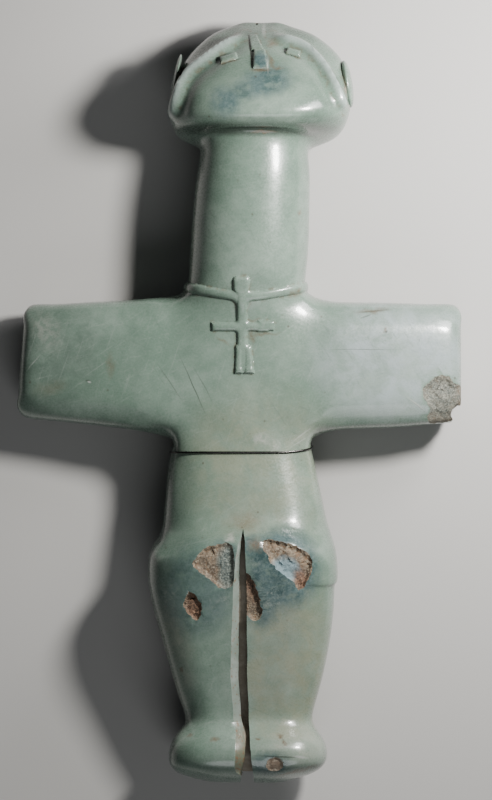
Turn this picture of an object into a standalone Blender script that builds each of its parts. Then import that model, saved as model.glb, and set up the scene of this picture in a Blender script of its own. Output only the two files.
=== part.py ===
"""Cruciform stone figurine, lying on its back.

Metres, +Z up. The head points to +Y, the arms lie along X, and the face, chest and knees look up.
The origin is under the middle of the outline, on the surface that the figure lies on.
The form is given in units, and a unit is a 153rd of the height, so a millimetre at the real size.
"""

import math
from collections import namedtuple

import bmesh
import bpy
from mathutils import Euler, Matrix, Quaternion, Vector, noise
from mathutils.bvhtree import BVHTree

# Driving dimensions, in metres
HEIGHT = 0.153  # crown to soles
WIRE_DIAMETER = 0.0004
WIRE_CLEARANCE = 0.0003  # from the wire to the stone

UNIT = HEIGHT / 153

# Relief heights above the polished surface, in units
CORD_RADIUS = 0.85
CORD_RAISE = 0.55
PENDANT_RAISE = 0.6
EYE_RAISE = 0.5
NOSE_RAISE = 1.5
HAIR_RADIUS = 1.0
HAIR_RAISE = 0.8

SLIT_DEPTH = 2.6  # of the slit between the legs, in units

RING = 16  # points round a section
FRONT = range(0, 6)  # of these, the ones on the front, from right to left
LEFT = (6, 7)
BACK = range(8, 14)
RIGHT = (14, 15)

# A level section of the head, neck, waist or legs.
# at is its place along the height; left, right, back and front are its extremes.
# square is its superellipse exponent, tilt raises its front over its back, arch lowers its front's sides.
# Here and below, what lies lower than 0 at the back is cut off flat, where the figure rests.
Section = namedtuple("Section", "at left right back front square tilt arch")

HIP = -17.0  # above this the front has no valley between the legs
LEG_VALLEY = 0.8

LEGS = [
    Section(-75.6, -9.2, 11.5, 6.0, 17.5, 2.5, 0.0, -0.6),
    Section(-74.2, -12.9, 15.4, 3.2, 20.3, 2.8, 0.0, -0.6),
    Section(-71.8, -14.3, 17.5, 1.4, 22.0, 2.9, 0.0, 0.0),
    Section(-68.8, -14.0, 17.4, 1.2, 21.8, 2.9, 0.0, 0.0),
    Section(-66.3, -12.6, 16.1, 2.2, 19.8, 2.8, 0.0, 0.0),
    Section(-64.0, -11.0, 14.8, 3.2, 17.9, 2.7, 0.0, 0.0),
    Section(-60.5, -11.8, 15.3, 3.8, 17.9, 2.7, 0.0, 0.0),
    Section(-54.5, -13.7, 16.9, 4.0, 19.2, 2.8, 0.0, 0.0),
    Section(-47.0, -15.8, 18.4, 3.6, 20.8, 2.9, 0.0, 0.3),
    Section(-40.0, -17.7, 19.1, 2.6, 22.5, 2.9, 0.0, 1.0),
    Section(-36.2, -18.3, 19.3, 1.4, 23.3, 2.9, 0.0, 1.7),
    Section(-35.2, -18.4, 19.8, 1.1, 23.5, 2.9, 0.0, 2.0),
    Section(-31.0, -18.4, 19.7, -0.2, 24.3, 2.8, 0.0, 3.6),
    Section(-28.2, -17.6, 19.2, -0.3, 24.3, 2.7, 0.0, 5.0),
    Section(-26.4, -16.3, 18.6, -0.3, 23.3, 2.7, 0.0, 5.2),
    Section(-24.5, -15.6, 18.0, -0.2, 21.2, 2.7, 0.0, 4.7),
    Section(-22.4, -15.3, 17.4, 0.2, 19.7, 2.7, 0.0, 3.4),
    Section(HIP, -14.8, 16.2, 1.4, 18.7, 2.7, 0.0, 1.0),
    Section(-10.6, -14.0, 14.8, 2.2, 17.8, 2.8, 0.0, 0.0),
]

NECK_AND_HEAD = [
    Section(24.0, -10.5, 13.3, 1.0, 20.8, 2.4, 0.0, 0.8),
    Section(27.5, -10.1, 13.6, 1.5, 21.5, 2.2, 0.0, 0.0),
    Section(33.0, -9.8, 14.0, 1.7, 21.9, 2.1, 0.0, 0.0),
    Section(40.0, -9.3, 14.1, 1.8, 22.0, 2.1, 0.2, 0.0),
    Section(46.5, -8.5, 14.1, 2.0, 21.9, 2.1, 1.2, 0.0),
    Section(51.2, -8.2, 14.1, 2.2, 21.7, 2.1, 2.9, 0.0),
    Section(52.7, -10.6, 17.2, 1.0, 24.4, 2.2, 2.3, 0.0),
    Section(54.2, -13.0, 20.2, -0.2, 27.4, 2.4, 2.1, -0.4),
    Section(57.0, -13.9, 21.8, -0.3, 28.4, 2.5, 1.2, -0.3),
    Section(61.0, -14.2, 22.5, -0.3, 27.2, 2.5, 0.3, 0.0),
    Section(65.0, -13.4, 22.0, -0.2, 24.4, 2.4, 0.0, 0.0),
    Section(68.8, -11.2, 20.6, 0.5, 21.0, 2.2, 0.0, 0.0),
    Section(71.8, -8.4, 18.0, 1.7, 17.4, 2.1, 0.0, 0.0),
    Section(74.3, -5.2, 14.5, 3.6, 13.6, 2.0, 0.0, 0.0),
    Section(75.7, -1.8, 10.6, 5.6, 10.6, 2.0, 0.0, 0.0),
]

# A section of the chest where the arms leave it: left and right are its front corners,
# middle_front and side_front its heights there, side_back that of its back's corners,
# pit how far the corner between arm and body lies beyond the front corners, and drop how far it lies lower.
Chest = namedtuple("Chest", "at left right middle_front side_front side_back pit drop")

BACK_DIP = -0.3  # the lowest line of the back

CHEST = [
    Chest(-5.3, -13.6, 14.6, 17.6, 15.9, 0.8, 0.2, -1.9),
    Chest(-2.0, -13.8, 14.8, 17.7, 17.0, -0.3, 0.0, 0.0),
    Chest(3.0, -13.6, 14.6, 17.9, 17.4, -0.3, 0.0, 0.0),
    Chest(12.5, -13.2, 14.2, 18.4, 17.3, -0.3, 0.0, 0.0),
    Chest(17.5, -12.6, 14.0, 19.0, 16.8, -0.3, 0.0, 0.0),
    Chest(20.4, -11.9, 13.8, 19.9, 15.6, 0.6, 0.6, 1.1),
]

# A section of an arm: out is its place along the arm, low and high its edges along the height.
Arm = namedtuple("Arm", "out low high back front square")

LEFT_ARM = [
    Arm(-18.0, -6.0, 21.1, -0.2, 17.4, 3.4),
    Arm(-23.0, -5.3, 20.7, -0.3, 17.1, 3.2),
    Arm(-31.0, -4.4, 20.3, -0.3, 16.5, 3.1),
    Arm(-38.5, -3.6, 19.9, 0.0, 15.6, 3.0),
    Arm(-43.3, -2.4, 19.4, 1.4, 14.1, 2.9),
]
RIGHT_ARM = [
    Arm(18.5, -5.8, 20.4, -0.2, 17.4, 3.4),
    Arm(24.0, -5.4, 20.2, -0.3, 17.1, 3.4),
    Arm(32.0, -5.1, 20.1, -0.3, 16.5, 3.3),
    Arm(39.5, -4.4, 19.9, 0.0, 15.6, 3.3),
    Arm(43.9, -3.4, 19.2, 1.4, 14.1, 3.1),
]
HAND_SLANT = 0.07  # the left hand's end leans out towards its lower corner
END_DOME = 0.7  # how far the middle of an end stands out from its last section


def superellipse(square):
    """Sixteen points (across, deep) on a unit superellipse, from the front's right corner to the left."""
    points = []
    for k in range(RING):
        turn = math.radians((k + 1.5) * 360 / RING)
        across = math.copysign(abs(math.cos(turn)) ** (2 / square), math.cos(turn))
        deep = math.copysign(abs(math.sin(turn)) ** (2 / square), math.sin(turn))
        points.append((across, deep))
    return points


def section_ring(s):
    middle, half = (s.right + s.left) / 2, (s.right - s.left) / 2
    centre, depth = (s.front + s.back) / 2, (s.front - s.back) / 2
    valley = LEG_VALLEY if s.at < HIP else 0.0
    ring = []
    for across, deep in superellipse(s.square):
        ahead = max(deep, 0.0)
        ring.append(Vector((
            middle + half * across,
            s.at + s.tilt * deep - s.arch * across ** 2 * ahead,
            centre + depth * deep - valley * ahead * max(0.0, 1 - 4 * across ** 2),
        )))
    return ring


def chest_ring(c):
    """The four side points are read only on the first and last rows, where the arms' edges meet the body."""
    middle, half = (c.right + c.left) / 2, (c.right - c.left) / 2
    ring = [None] * RING
    for step in range(6):
        across = 1 - 2 * step / 5
        front = c.side_front + (c.middle_front - c.side_front) * (1 - across ** 2)
        back = BACK_DIP + (c.side_back - BACK_DIP) * across ** 4
        ring[FRONT[step]] = Vector((middle + half * across, c.at, front))
        ring[BACK[5 - step]] = Vector((middle + half * across, c.at, back))
    for corner, beyond, sign in ((FRONT[5], LEFT, -1), (BACK[5], RIGHT, 1)):
        start, end = ring[corner], ring[(corner + 3) % RING]
        for step, k in enumerate(beyond, start=1):
            ring[k] = start.lerp(end, step / 3) + Vector((sign * c.pit, c.drop, 0))
    return ring


def arm_ring(a, slant):
    """The same order as arm_hole: up the front, over the top edge, down the back, along the lower edge."""
    middle, half = (a.high + a.low) / 2, (a.high - a.low) / 2
    centre, depth = (a.front + a.back) / 2, (a.front - a.back) / 2
    points = superellipse(a.square)
    order = [*reversed(FRONT), *reversed(RIGHT), *reversed(BACK), *reversed(LEFT)]
    return [
        Vector((
            a.out + slant * half * points[k][0],
            middle + half * points[k][0],
            centre + depth * points[k][1],
        ))
        for k in order
    ]


def arm_hole(rows, front, back, beyond):
    """The loop of vertices on the chest that an arm grows from."""
    return [
        *[row[front] for row in rows],
        *[rows[-1][k] for k in beyond],
        *[row[back] for row in reversed(rows)],
        *[rows[0][k] for k in reversed(beyond)],
    ]


def bridge(bm, lower, upper, skip=()):
    count = len(lower)
    for k in range(count):
        if k in skip:
            continue
        after = (k + 1) % count
        bm.faces.new((lower[k], lower[after], upper[after], upper[k]))


def close_end(bm, near, far, near_side, far_side, outward):
    """A grid of faces over an end. near and far are its long edges, and the sides hold two points each."""
    rows = [near]
    for step in (1, 2):
        inner = []
        for column in range(1, len(near) - 1):
            place = near[column].co.lerp(far[column].co, step / 3)
            inner.append(bm.verts.new(place + outward))
        rows.append([near_side[step - 1], *inner, far_side[step - 1]])
    rows.append(far)
    for first, second in zip(rows, rows[1:]):
        for k in range(len(first) - 1):
            bm.faces.new((first[k], first[k + 1], second[k + 1], second[k]))


def body_cage():
    """The figure's cage: sections from the soles to the crown, with the arms grown from their sides."""
    bm = bmesh.new()
    below = [[bm.verts.new(p) for p in section_ring(s)] for s in LEGS]
    chest = []
    for index, c in enumerate(CHEST):
        inside = () if index in (0, len(CHEST) - 1) else (*LEFT, *RIGHT)
        chest.append([None if k in inside else bm.verts.new(p) for k, p in enumerate(chest_ring(c))])
    above = [[bm.verts.new(p) for p in section_ring(s)] for s in NECK_AND_HEAD]
    stack = below + chest[:1]
    for first, second in zip(stack, stack[1:]):
        bridge(bm, first, second)
    sides = (5, 6, 7, 13, 14, 15)
    for first, second in zip(chest, chest[1:]):
        bridge(bm, first, second, skip=sides)
    stack = chest[-1:] + above
    for first, second in zip(stack, stack[1:]):
        bridge(bm, first, second)

    left = arm_hole(chest, FRONT[5], BACK[0], LEFT)
    right = arm_hole(chest, FRONT[0], BACK[5], tuple(reversed(RIGHT)))
    for hole, arm, slant, outward in ((left, LEFT_ARM, HAND_SLANT, -1), (right, RIGHT_ARM, 0.0, 1)):
        loops = [hole] + [[bm.verts.new(p) for p in arm_ring(a, slant)] for a in arm]
        for first, second in zip(loops, loops[1:]):
            bridge(bm, first, second)
        end = loops[-1]
        push = Vector((outward * END_DOME, 0, 0))
        close_end(bm, end[0:6], end[8:14][::-1], end[14:16][::-1], end[6:8], push)

    soles, crown = below[0], above[-1]
    for end, push in ((soles, Vector((0, -END_DOME, 0))), (crown, Vector((0, END_DOME, 0)))):
        close_end(
            bm,
            [end[k] for k in FRONT],
            [end[k] for k in reversed(BACK)],
            [end[k] for k in reversed(RIGHT)],
            [end[k] for k in LEFT],
            push,
        )
    bmesh.ops.recalc_face_normals(bm, faces=bm.faces)
    return bm


FIT_ROUNDS = 8


def mesh_object(name, bm, collection):
    """An object from a bmesh in units."""
    bmesh.ops.scale(bm, vec=Vector((UNIT, UNIT, UNIT)), verts=bm.verts)
    mesh = bpy.data.meshes.new(name)
    bm.to_mesh(mesh)
    bm.free()
    obj = bpy.data.objects.new(name, mesh)
    collection.objects.link(obj)
    return obj


def smooth_body(collection):
    """The cage under a subdivision surface, fitted so that the surface passes through its own points."""
    body = mesh_object("figurine", body_cage(), collection)
    subdivision = body.modifiers.new("Smooth form", "SUBSURF")
    subdivision.levels = subdivision.render_levels = 1
    wanted = [v.co.copy() for v in body.data.vertices]
    for _ in range(FIT_ROUNDS):
        bpy.context.view_layer.update()
        reached = body.evaluated_get(bpy.context.evaluated_depsgraph_get()).data
        shifts = [goal - got.co for goal, got in zip(wanted, reached.vertices)]
        for vertex, shift in zip(body.data.vertices, shifts):
            vertex.co += shift
        body.data.update()
    bpy.context.view_layer.update()
    return body


class Surface:
    """Finds places on the smooth body, in units."""

    FAR = 100.0

    def __init__(self, body):
        self.tree = BVHTree.FromObject(body, bpy.context.evaluated_depsgraph_get())

    def hit(self, start, direction):
        place, normal, _, _ = self.tree.ray_cast(Vector(start) * UNIT, Vector(direction))
        return place / UNIT, normal

    def front(self, x, y):
        return self.hit((x, y, self.FAR), (0, 0, -1))

    def raised(self, x, y, height):
        place, normal = self.front(x, y)
        return place + normal * height

    def around(self, axis, height_at, offset, count):
        """A loop round the body. axis is its (x, z), and height_at gives each point's place along Y
        from how far ahead and across it lies, both from -1 to 1."""
        loop = []
        for k in range(count):
            turn = 2 * math.pi * k / count
            out = Vector((math.cos(turn), 0, math.sin(turn)))
            centre = Vector((axis[0], height_at(out.z, out.x), axis[1]))
            place, normal = self.hit(centre + out * self.FAR, -out)
            loop.append(place + normal * offset)
        return loop


def tube(name, points, radius, closed, collection):
    """A round tube through points, in units, as a closed mesh."""
    curve = bpy.data.curves.new(name, "CURVE")
    curve.dimensions = "3D"
    curve.bevel_depth = radius * UNIT
    curve.bevel_resolution = 2
    curve.use_fill_caps = True
    spline = curve.splines.new("POLY")
    spline.points.add(len(points) - 1)
    for target, place in zip(spline.points, points):
        target.co = (*(place * UNIT), 1)
    spline.use_cyclic_u = closed
    guide = bpy.data.objects.new(name, curve)
    collection.objects.link(guide)
    bpy.context.view_layer.update()
    evaluated = guide.evaluated_get(bpy.context.evaluated_depsgraph_get())
    mesh = bpy.data.meshes.new_from_object(evaluated)
    bpy.data.objects.remove(guide)
    bm = bmesh.new()
    bm.from_mesh(mesh)
    bmesh.ops.remove_doubles(bm, verts=bm.verts, dist=radius * UNIT / 50)
    bmesh.ops.recalc_face_normals(bm, faces=bm.faces)
    bm.to_mesh(mesh)
    bm.free()
    made = bpy.data.objects.new(name, mesh)
    collection.objects.link(made)
    return made


def smooth_path(points, steps):
    """A Catmull-Rom curve through points on a plane."""
    first, *_, last = points = [Vector(p) for p in points]
    ends = [2 * first - points[1], *points, 2 * last - points[-2]]
    path = []
    for a, b, c, d in zip(ends, ends[1:], ends[2:], ends[3:]):
        for t in (step / steps for step in range(steps)):
            bend = (2 * a - 5 * b + 4 * c - d) * t ** 2 + (3 * b - a - 3 * c + d) * t ** 3
            path.append(b + 0.5 * ((c - a) * t + bend))
    return [*path, last]


SINK = 1.4  # how deep a raised piece reaches into the body
PATCH_STEP = 2.2  # longest face along a raised patch


def patch(name, surface, low, high, raises, collection):
    """A raised patch over the front, between two edges across it. low and high are (y, left x, right x),
    and raises its heights above the front there."""
    (low_y, low_left, low_right), (high_y, high_left, high_right) = low, high
    columns = math.ceil(max(low_right - low_left, high_right - high_left) / PATCH_STEP)
    rows = math.ceil((high_y - low_y) / PATCH_STEP)
    bm = bmesh.new()
    bmesh.ops.create_grid(bm, x_segments=columns, y_segments=rows, size=0.5)
    for v in bm.verts:
        across, along = v.co.x + 0.5, v.co.y + 0.5
        left = low_left + (high_left - low_left) * along
        right = low_right + (high_right - low_right) * along
        y = low_y + (high_y - low_y) * along
        height = raises[0] + (raises[1] - raises[0]) * along
        v.co = surface.raised(left + (right - left) * across, y, height)
    made = mesh_object(name, bm, collection)
    thickness = made.modifiers.new("Reach into the body", "SOLIDIFY")
    thickness.thickness = (max(raises) + SINK) * UNIT
    return made


def ball(name, centre, radii, turn, roughness, collection):
    """A ball with three radii, turned, in units. roughness shakes its surface, as on broken stone."""
    bm = bmesh.new()
    bmesh.ops.create_icosphere(bm, subdivisions=2, radius=1)
    for v in bm.verts:
        shake = 1 + roughness * noise.noise(v.co * 1.9 + Vector(centre))
        v.co = Vector(a * b * shake for a, b in zip(v.co, radii))
    bm.transform(Matrix.Translation(centre) @ turn.to_matrix().to_4x4())
    return mesh_object(name, bm, collection)


# The neck cord hangs a little lower in front. Its loop is worked out round this axis, an (x, z).
NECK_AXIS = (1.6, 11.0)
CORD_LEVEL = 23.3
CORD_DIP = 2.1


def neck_cord(surface, collection):
    def height_at(ahead, _across):
        return CORD_LEVEL - CORD_DIP * max(0.0, ahead) ** 2

    loop = surface.around(NECK_AXIS, height_at, CORD_RAISE - CORD_RADIUS, 40)
    return [tube("neck cord", loop, CORD_RADIUS, True, collection)]


# The pendant is a small figure with its arms out. Its patches are (low edge, high edge, height).
PENDANT_SLIT = (0.68, 0.96)
PENDANT = {
    "pendant neck": ((14.6, -0.6, 1.6), (22.6, -0.7, 1.5), PENDANT_RAISE + 0.06),
    "pendant arms": ((14.3, -5.65, 7.1), (16.2, -5.65, 7.1), PENDANT_RAISE),
    "pendant waist": ((10.5, -0.5, 1.6), (14.6, -0.5, 1.5), PENDANT_RAISE - 0.1),
    "pendant left leg": ((7.0, -1.0, PENDANT_SLIT[0]), (10.9, -0.85, PENDANT_SLIT[0]), PENDANT_RAISE),
    "pendant right leg": ((7.0, PENDANT_SLIT[1], 2.75), (10.9, PENDANT_SLIT[1], 2.3), PENDANT_RAISE),
    "pendant left foot": ((5.7, -1.2, PENDANT_SLIT[0]), (7.2, -1.15, PENDANT_SLIT[0]), PENDANT_RAISE + 0.15),
    "pendant right foot": ((5.7, PENDANT_SLIT[1], 2.95), (7.2, PENDANT_SLIT[1], 2.9), PENDANT_RAISE + 0.15),
}
PENDANT_HEAD = (0.4, 23.7)
PENDANT_HEAD_RADII = (2.0, 1.9, 1.5)
PENDANT_HEAD_SINK = 0.75


def pendant(surface, collection):
    pieces = [
        patch(name, surface, low, high, (height, height), collection)
        for name, (low, high, height) in PENDANT.items()
    ]
    head = surface.raised(*PENDANT_HEAD, -PENDANT_HEAD_SINK)
    upright = Quaternion()
    pieces.append(ball("pendant head", head, PENDANT_HEAD_RADII, upright, 0.0, collection))
    return pieces


HAIR_EDGES = {
    "left hair edge": [(1.5, 73.9), (-2.9, 71.7), (-6.9, 68.9), (-9.9, 66.5), (-11.7, 63.9), (-12.9, 61.0)],
    "right hair edge": [(6.1, 73.7), (12.2, 71.9), (15.8, 68.8), (18.2, 65.2), (20.2, 60.8), (21.2, 58.4)],
}
EAR_RADII = (1.1, 4.8, 4.6)
EAR_TILT = math.radians(-14)  # the top of an ear leans back
LEFT_EAR = ((-12.2, 65.2, 13.6), math.radians(-12))  # its centre, and its lean towards the crown
RIGHT_EAR = ((21.6, 63.9, 13.4), math.radians(9))


def face(surface, collection):
    """Two raised eyes, a nose of two facets, the hair's edge over the face, and the ears."""
    eyes = (EYE_RAISE, EYE_RAISE)
    pieces = [
        patch("left eye", surface, (68.1, -4.5, -0.9), (69.9, -3.9, -0.5), eyes, collection),
        patch("right eye", surface, (69.4, 9.3, 12.6), (71.2, 9.1, 11.9), eyes, collection),
        patch("nose bridge", surface, (70.4, 2.4, 4.8), (73.9, 2.0, 4.2), (1.1, 0.3), collection),
        patch("nose tip", surface, (66.9, 2.6, 5.5), (70.7, 2.6, 5.2), (NOSE_RAISE, 1.2), collection),
    ]
    for name, points in HAIR_EDGES.items():
        path = [surface.raised(p.x, p.y, HAIR_RAISE - HAIR_RADIUS) for p in smooth_path(points, 3)]
        pieces.append(tube(name, path, HAIR_RADIUS, False, collection))
    for name, (centre, lean) in (("left ear", LEFT_EAR), ("right ear", RIGHT_EAR)):
        turn = Euler((EAR_TILT, 0, lean)).to_quaternion()
        pieces.append(ball(name, centre, EAR_RADII, turn, 0.0, collection))
    return pieces


# A section of the slit between the legs: left and right are its walls, bevel the width of the slope
# on its left edge, and depth how deep its floor lies below the front. It runs right through the soles.
Slit = namedtuple("Slit", "at left right bevel depth")

SLIT = [
    Slit(-25.4, 0.68, 0.8, 0.1, 1.8),
    Slit(-28.6, 0.25, 1.1, 0.7, 2.4),
    Slit(-31.7, 0.1, 1.25, 1.0, SLIT_DEPTH),
    Slit(-39.7, -0.1, 1.5, 1.35, SLIT_DEPTH),
    Slit(-54.0, -0.2, 1.55, 1.7, SLIT_DEPTH),
    Slit(-62.6, 0.3, 1.9, 1.7, SLIT_DEPTH),
    Slit(-66.3, 1.0, 2.05, 1.9, SLIT_DEPTH),
    Slit(-68.4, 1.1, 2.05, 2.0, SLIT_DEPTH),
    Slit(-70.6, 1.0, 2.3, 2.0, SLIT_DEPTH),
    Slit(-73.8, 0.6, 2.65, 1.6, 5.0),
    Slit(-75.2, 0.3, 2.85, 1.1, 40.0),
    Slit(-78.0, -0.2, 3.2, 0.5, 40.0),
]
SLIT_BEVEL_DEPTH = 1.5
CUTTER_MARGIN = 3.0  # how far the slit's cutter stands out above the front


def leg_slit(surface, collection):
    """A loft through the slit's sections."""
    bm = bmesh.new()
    rings = []
    for s in SLIT:
        front = surface.front(s.left - s.bevel, max(s.at, SLIT[-3].at))[0].z
        slope = s.bevel / SLIT_BEVEL_DEPTH
        corners = [
            (s.left, front - s.depth),
            (s.right, front - s.depth),
            (s.right, front + CUTTER_MARGIN),
            (s.left - s.bevel - slope * CUTTER_MARGIN, front + CUTTER_MARGIN),
            (s.left, front - SLIT_BEVEL_DEPTH),
        ]
        rings.append([bm.verts.new((x, s.at, z)) for x, z in corners])
    for first, second in zip(rings, rings[1:]):
        bridge(bm, first, second)
    bm.faces.new(rings[0])
    bm.faces.new(rings[-1])
    bmesh.ops.recalc_face_normals(bm, faces=bm.faces)
    return [mesh_object("leg slit", bm, collection)]


# A chip in the front: its middle, its half width and half height there, and its depth
Chip = namedtuple("Chip", "x y half_width half_height depth")

CHIPS = {
    "left knee chip": Chip(-5.1, -32.6, 4.2, 4.6, 1.2),
    "left shin chip": Chip(-9.2, -40.8, 2.0, 3.1, 0.7),
    "right knee chip": Chip(9.9, -32.8, 4.7, 4.9, 1.3),
    "right shin chip": Chip(3.0, -39.2, 1.7, 4.7, 0.9),
    "foot chip": Chip(7.1, -72.4, 2.0, 1.7, 0.6),
    "hand chip": Chip(40.4, 0.8, 4.0, 4.9, 1.6),
}
CHIP_ROUGHNESS = 0.3
CHIP_EDGE = 0.8  # a chip's half width over its ball's radius
# Centre and radii of what broke off the right hand's corner
HAND_BREAK = ((45.6, -3.4, 8.0), (3.4, 4.2, 12.0))


def chips(surface, collection):
    """Rough scoops, each a ball that dips into the front."""
    pieces = []
    above = math.sqrt(1 - CHIP_EDGE ** 2)
    for name, c in CHIPS.items():
        place, normal = surface.front(c.x, c.y)
        deep = c.depth / (1 - above)
        radii = (c.half_width / CHIP_EDGE, c.half_height / CHIP_EDGE, deep)
        turn = Vector((0, 0, 1)).rotation_difference(normal)
        pieces.append(ball(name, place + normal * above * deep, radii, turn, CHIP_ROUGHNESS, collection))
    centre, radii = HAND_BREAK
    pieces.append(ball("hand break", centre, radii, Quaternion(), CHIP_ROUGHNESS, collection))
    return pieces


GROUND_SIZE = 200.0


def rest_flat(collection):
    """Everything below the ground, so that the back rests on a true flat."""
    bm = bmesh.new()
    bmesh.ops.create_cube(bm, size=GROUND_SIZE)
    bmesh.ops.translate(bm, vec=Vector((0, 0, -GROUND_SIZE / 2)), verts=bm.verts)
    return [mesh_object("rest flat", bm, collection)]


# The wire runs level round the waist, and rises towards the right side. Its loop is worked out round
# this axis.
WAIST_AXIS = (0.4, 9.0)
WIRE_LEVEL = -10.0
WIRE_RISE = 1.2
WIRE_TURN_UP = 0.7  # how far across the rise begins


def display_wire(surface, collection):
    def height_at(ahead, across):
        if ahead < 0:
            return WIRE_LEVEL + WIRE_RISE * (1 + across) / 2
        return WIRE_LEVEL + WIRE_RISE * (max(0.0, across - WIRE_TURN_UP) / (1 - WIRE_TURN_UP)) ** 2

    radius = WIRE_DIAMETER / 2 / UNIT
    loop = surface.around(WAIST_AXIS, height_at, WIRE_CLEARANCE / UNIT + radius, 60)
    return tube("display_wire", loop, radius, True, collection)


def material(name, colour, roughness, metallic):
    made = bpy.data.materials.new(name)
    made.use_nodes = True
    made.diffuse_color = (*colour, 1)
    shader = made.node_tree.nodes["Principled BSDF"]
    shader.inputs["Base Color"].default_value = (*colour, 1)
    shader.inputs["Roughness"].default_value = roughness
    shader.inputs["Metallic"].default_value = metallic
    return made


def main():
    for old in list(bpy.data.objects):
        bpy.data.objects.remove(old)
    parts = bpy.data.collections.new("Cruciform figurine")
    helpers = bpy.data.collections.new("Reliefs and cutters")
    for collection in (parts, helpers):
        bpy.context.scene.collection.children.link(collection)

    body = smooth_body(parts)
    surface = Surface(body)
    wire = display_wire(surface, parts)
    reliefs = neck_cord(surface, helpers) + pendant(surface, helpers) + face(surface, helpers)
    cutters = leg_slit(surface, helpers) + chips(surface, helpers) + rest_flat(helpers)
    for operation, pieces in (("UNION", reliefs), ("DIFFERENCE", cutters)):
        for piece in pieces:
            boolean = body.modifiers.new(piece.name, "BOOLEAN")
            boolean.operation = operation
            boolean.object = piece
            piece.hide_render = True
            piece.display_type = "WIRE"

    body.data.shade_smooth()
    body.data.materials.append(material("polished picrolite", (0.30, 0.36, 0.31), 0.28, 0.0))
    wire.data.shade_smooth()
    wire.data.materials.append(material("dark wire", (0.06, 0.06, 0.06), 0.3, 1.0))


main()
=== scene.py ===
"""The looks of a cruciform stone figurine, lying on its back.

The stone is built again here on the same form as the solid, with fine relief, breaks and a polished finish.
Lengths in the tables are in units, as in the solid's own source: a unit is a 153rd of the height.
"""

import math
from collections import namedtuple

import bmesh
import bpy
from mathutils import Euler, Matrix, Vector, noise
from mathutils.bvhtree import BVHTree
from mathutils.kdtree import KDTree


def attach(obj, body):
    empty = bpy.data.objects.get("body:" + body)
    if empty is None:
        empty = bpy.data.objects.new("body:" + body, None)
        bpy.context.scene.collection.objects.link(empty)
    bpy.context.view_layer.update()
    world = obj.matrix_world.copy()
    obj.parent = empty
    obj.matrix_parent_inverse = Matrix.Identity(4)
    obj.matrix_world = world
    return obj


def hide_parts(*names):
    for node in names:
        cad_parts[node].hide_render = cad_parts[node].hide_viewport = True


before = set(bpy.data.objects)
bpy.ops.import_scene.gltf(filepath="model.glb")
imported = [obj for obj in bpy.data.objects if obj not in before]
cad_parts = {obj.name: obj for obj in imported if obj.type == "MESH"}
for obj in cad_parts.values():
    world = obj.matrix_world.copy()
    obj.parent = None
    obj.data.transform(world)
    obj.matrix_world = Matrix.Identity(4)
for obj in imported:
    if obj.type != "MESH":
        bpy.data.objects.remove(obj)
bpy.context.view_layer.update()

HEIGHT = 0.153
UNITS_HIGH = 153
UNIT = HEIGHT / UNITS_HIGH

# Relief heights above the polished surface
CORD_RADIUS = 0.95
CORD_RAISE = 0.55
PENDANT_RAISE = 0.65
EYE_RAISE = 0.4
HAIR_RADIUS = 1.0
HAIR_RAISE = 1.2
SLIT_DEPTH = 2.2

# The stone's materials, by their place on it
POLISHED, BROKEN, CUT, DIRT = range(4)

RING = 16  # points round a section
FRONT = range(0, 6)  # of these, the ones on the front, from right to left
LEFT = (6, 7)
BACK = range(8, 14)
RIGHT = (14, 15)

# A level section of the head, neck, waist or legs.
# at is its place along the height; left, right, back and front are its extremes.
# square is its superellipse exponent, tilt raises its front over its back, arch lowers its front's sides.
Section = namedtuple("Section", "at left right back front square tilt arch")

HIP = -17.0  # above this the front has no valley between the legs
LEG_VALLEY = 0.8

LEGS = [Section(*row) for row in [
    (-75.6, -9.2, 11.5, 6.0, 17.5, 2.5, 0.0, -0.6),
    (-74.2, -12.9, 15.4, 3.2, 20.3, 2.8, 0.0, -0.6),
    (-71.8, -14.3, 17.5, 1.4, 22.0, 2.9, 0.0, 0.0),
    (-68.8, -14.0, 17.4, 1.2, 21.8, 2.9, 0.0, 0.0),
    (-66.3, -12.6, 16.1, 2.2, 19.8, 2.8, 0.0, 0.0),
    (-64.0, -11.0, 14.8, 3.2, 17.9, 2.7, 0.0, 0.0),
    (-60.5, -11.8, 15.3, 3.8, 17.9, 2.7, 0.0, 0.0),
    (-54.5, -13.7, 16.9, 4.0, 19.2, 2.8, 0.0, 0.0),
    (-47.0, -15.8, 18.4, 3.6, 20.8, 2.9, 0.0, 0.3),
    (-40.0, -17.7, 19.1, 2.6, 22.5, 2.9, 0.0, 1.0),
    (-36.2, -18.3, 19.3, 1.4, 23.3, 2.9, 0.0, 1.7),
    (-35.2, -18.4, 19.8, 1.1, 23.5, 2.9, 0.0, 2.0),
    (-31.0, -18.4, 19.7, -0.2, 24.3, 2.8, 0.0, 3.6),
    (-28.2, -17.6, 19.2, -0.3, 24.3, 2.7, 0.0, 5.0),
    (-26.4, -16.3, 18.6, -0.3, 23.3, 2.7, 0.0, 5.2),
    (-24.5, -15.6, 18.0, -0.2, 21.2, 2.7, 0.0, 4.7),
    (-22.4, -15.3, 17.4, 0.2, 19.7, 2.7, 0.0, 3.4),
    (HIP, -14.8, 16.2, 1.4, 18.7, 2.7, 0.0, 1.0),
    (-10.6, -14.0, 14.8, 2.2, 17.8, 2.8, 0.0, 0.0),
]]

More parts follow.
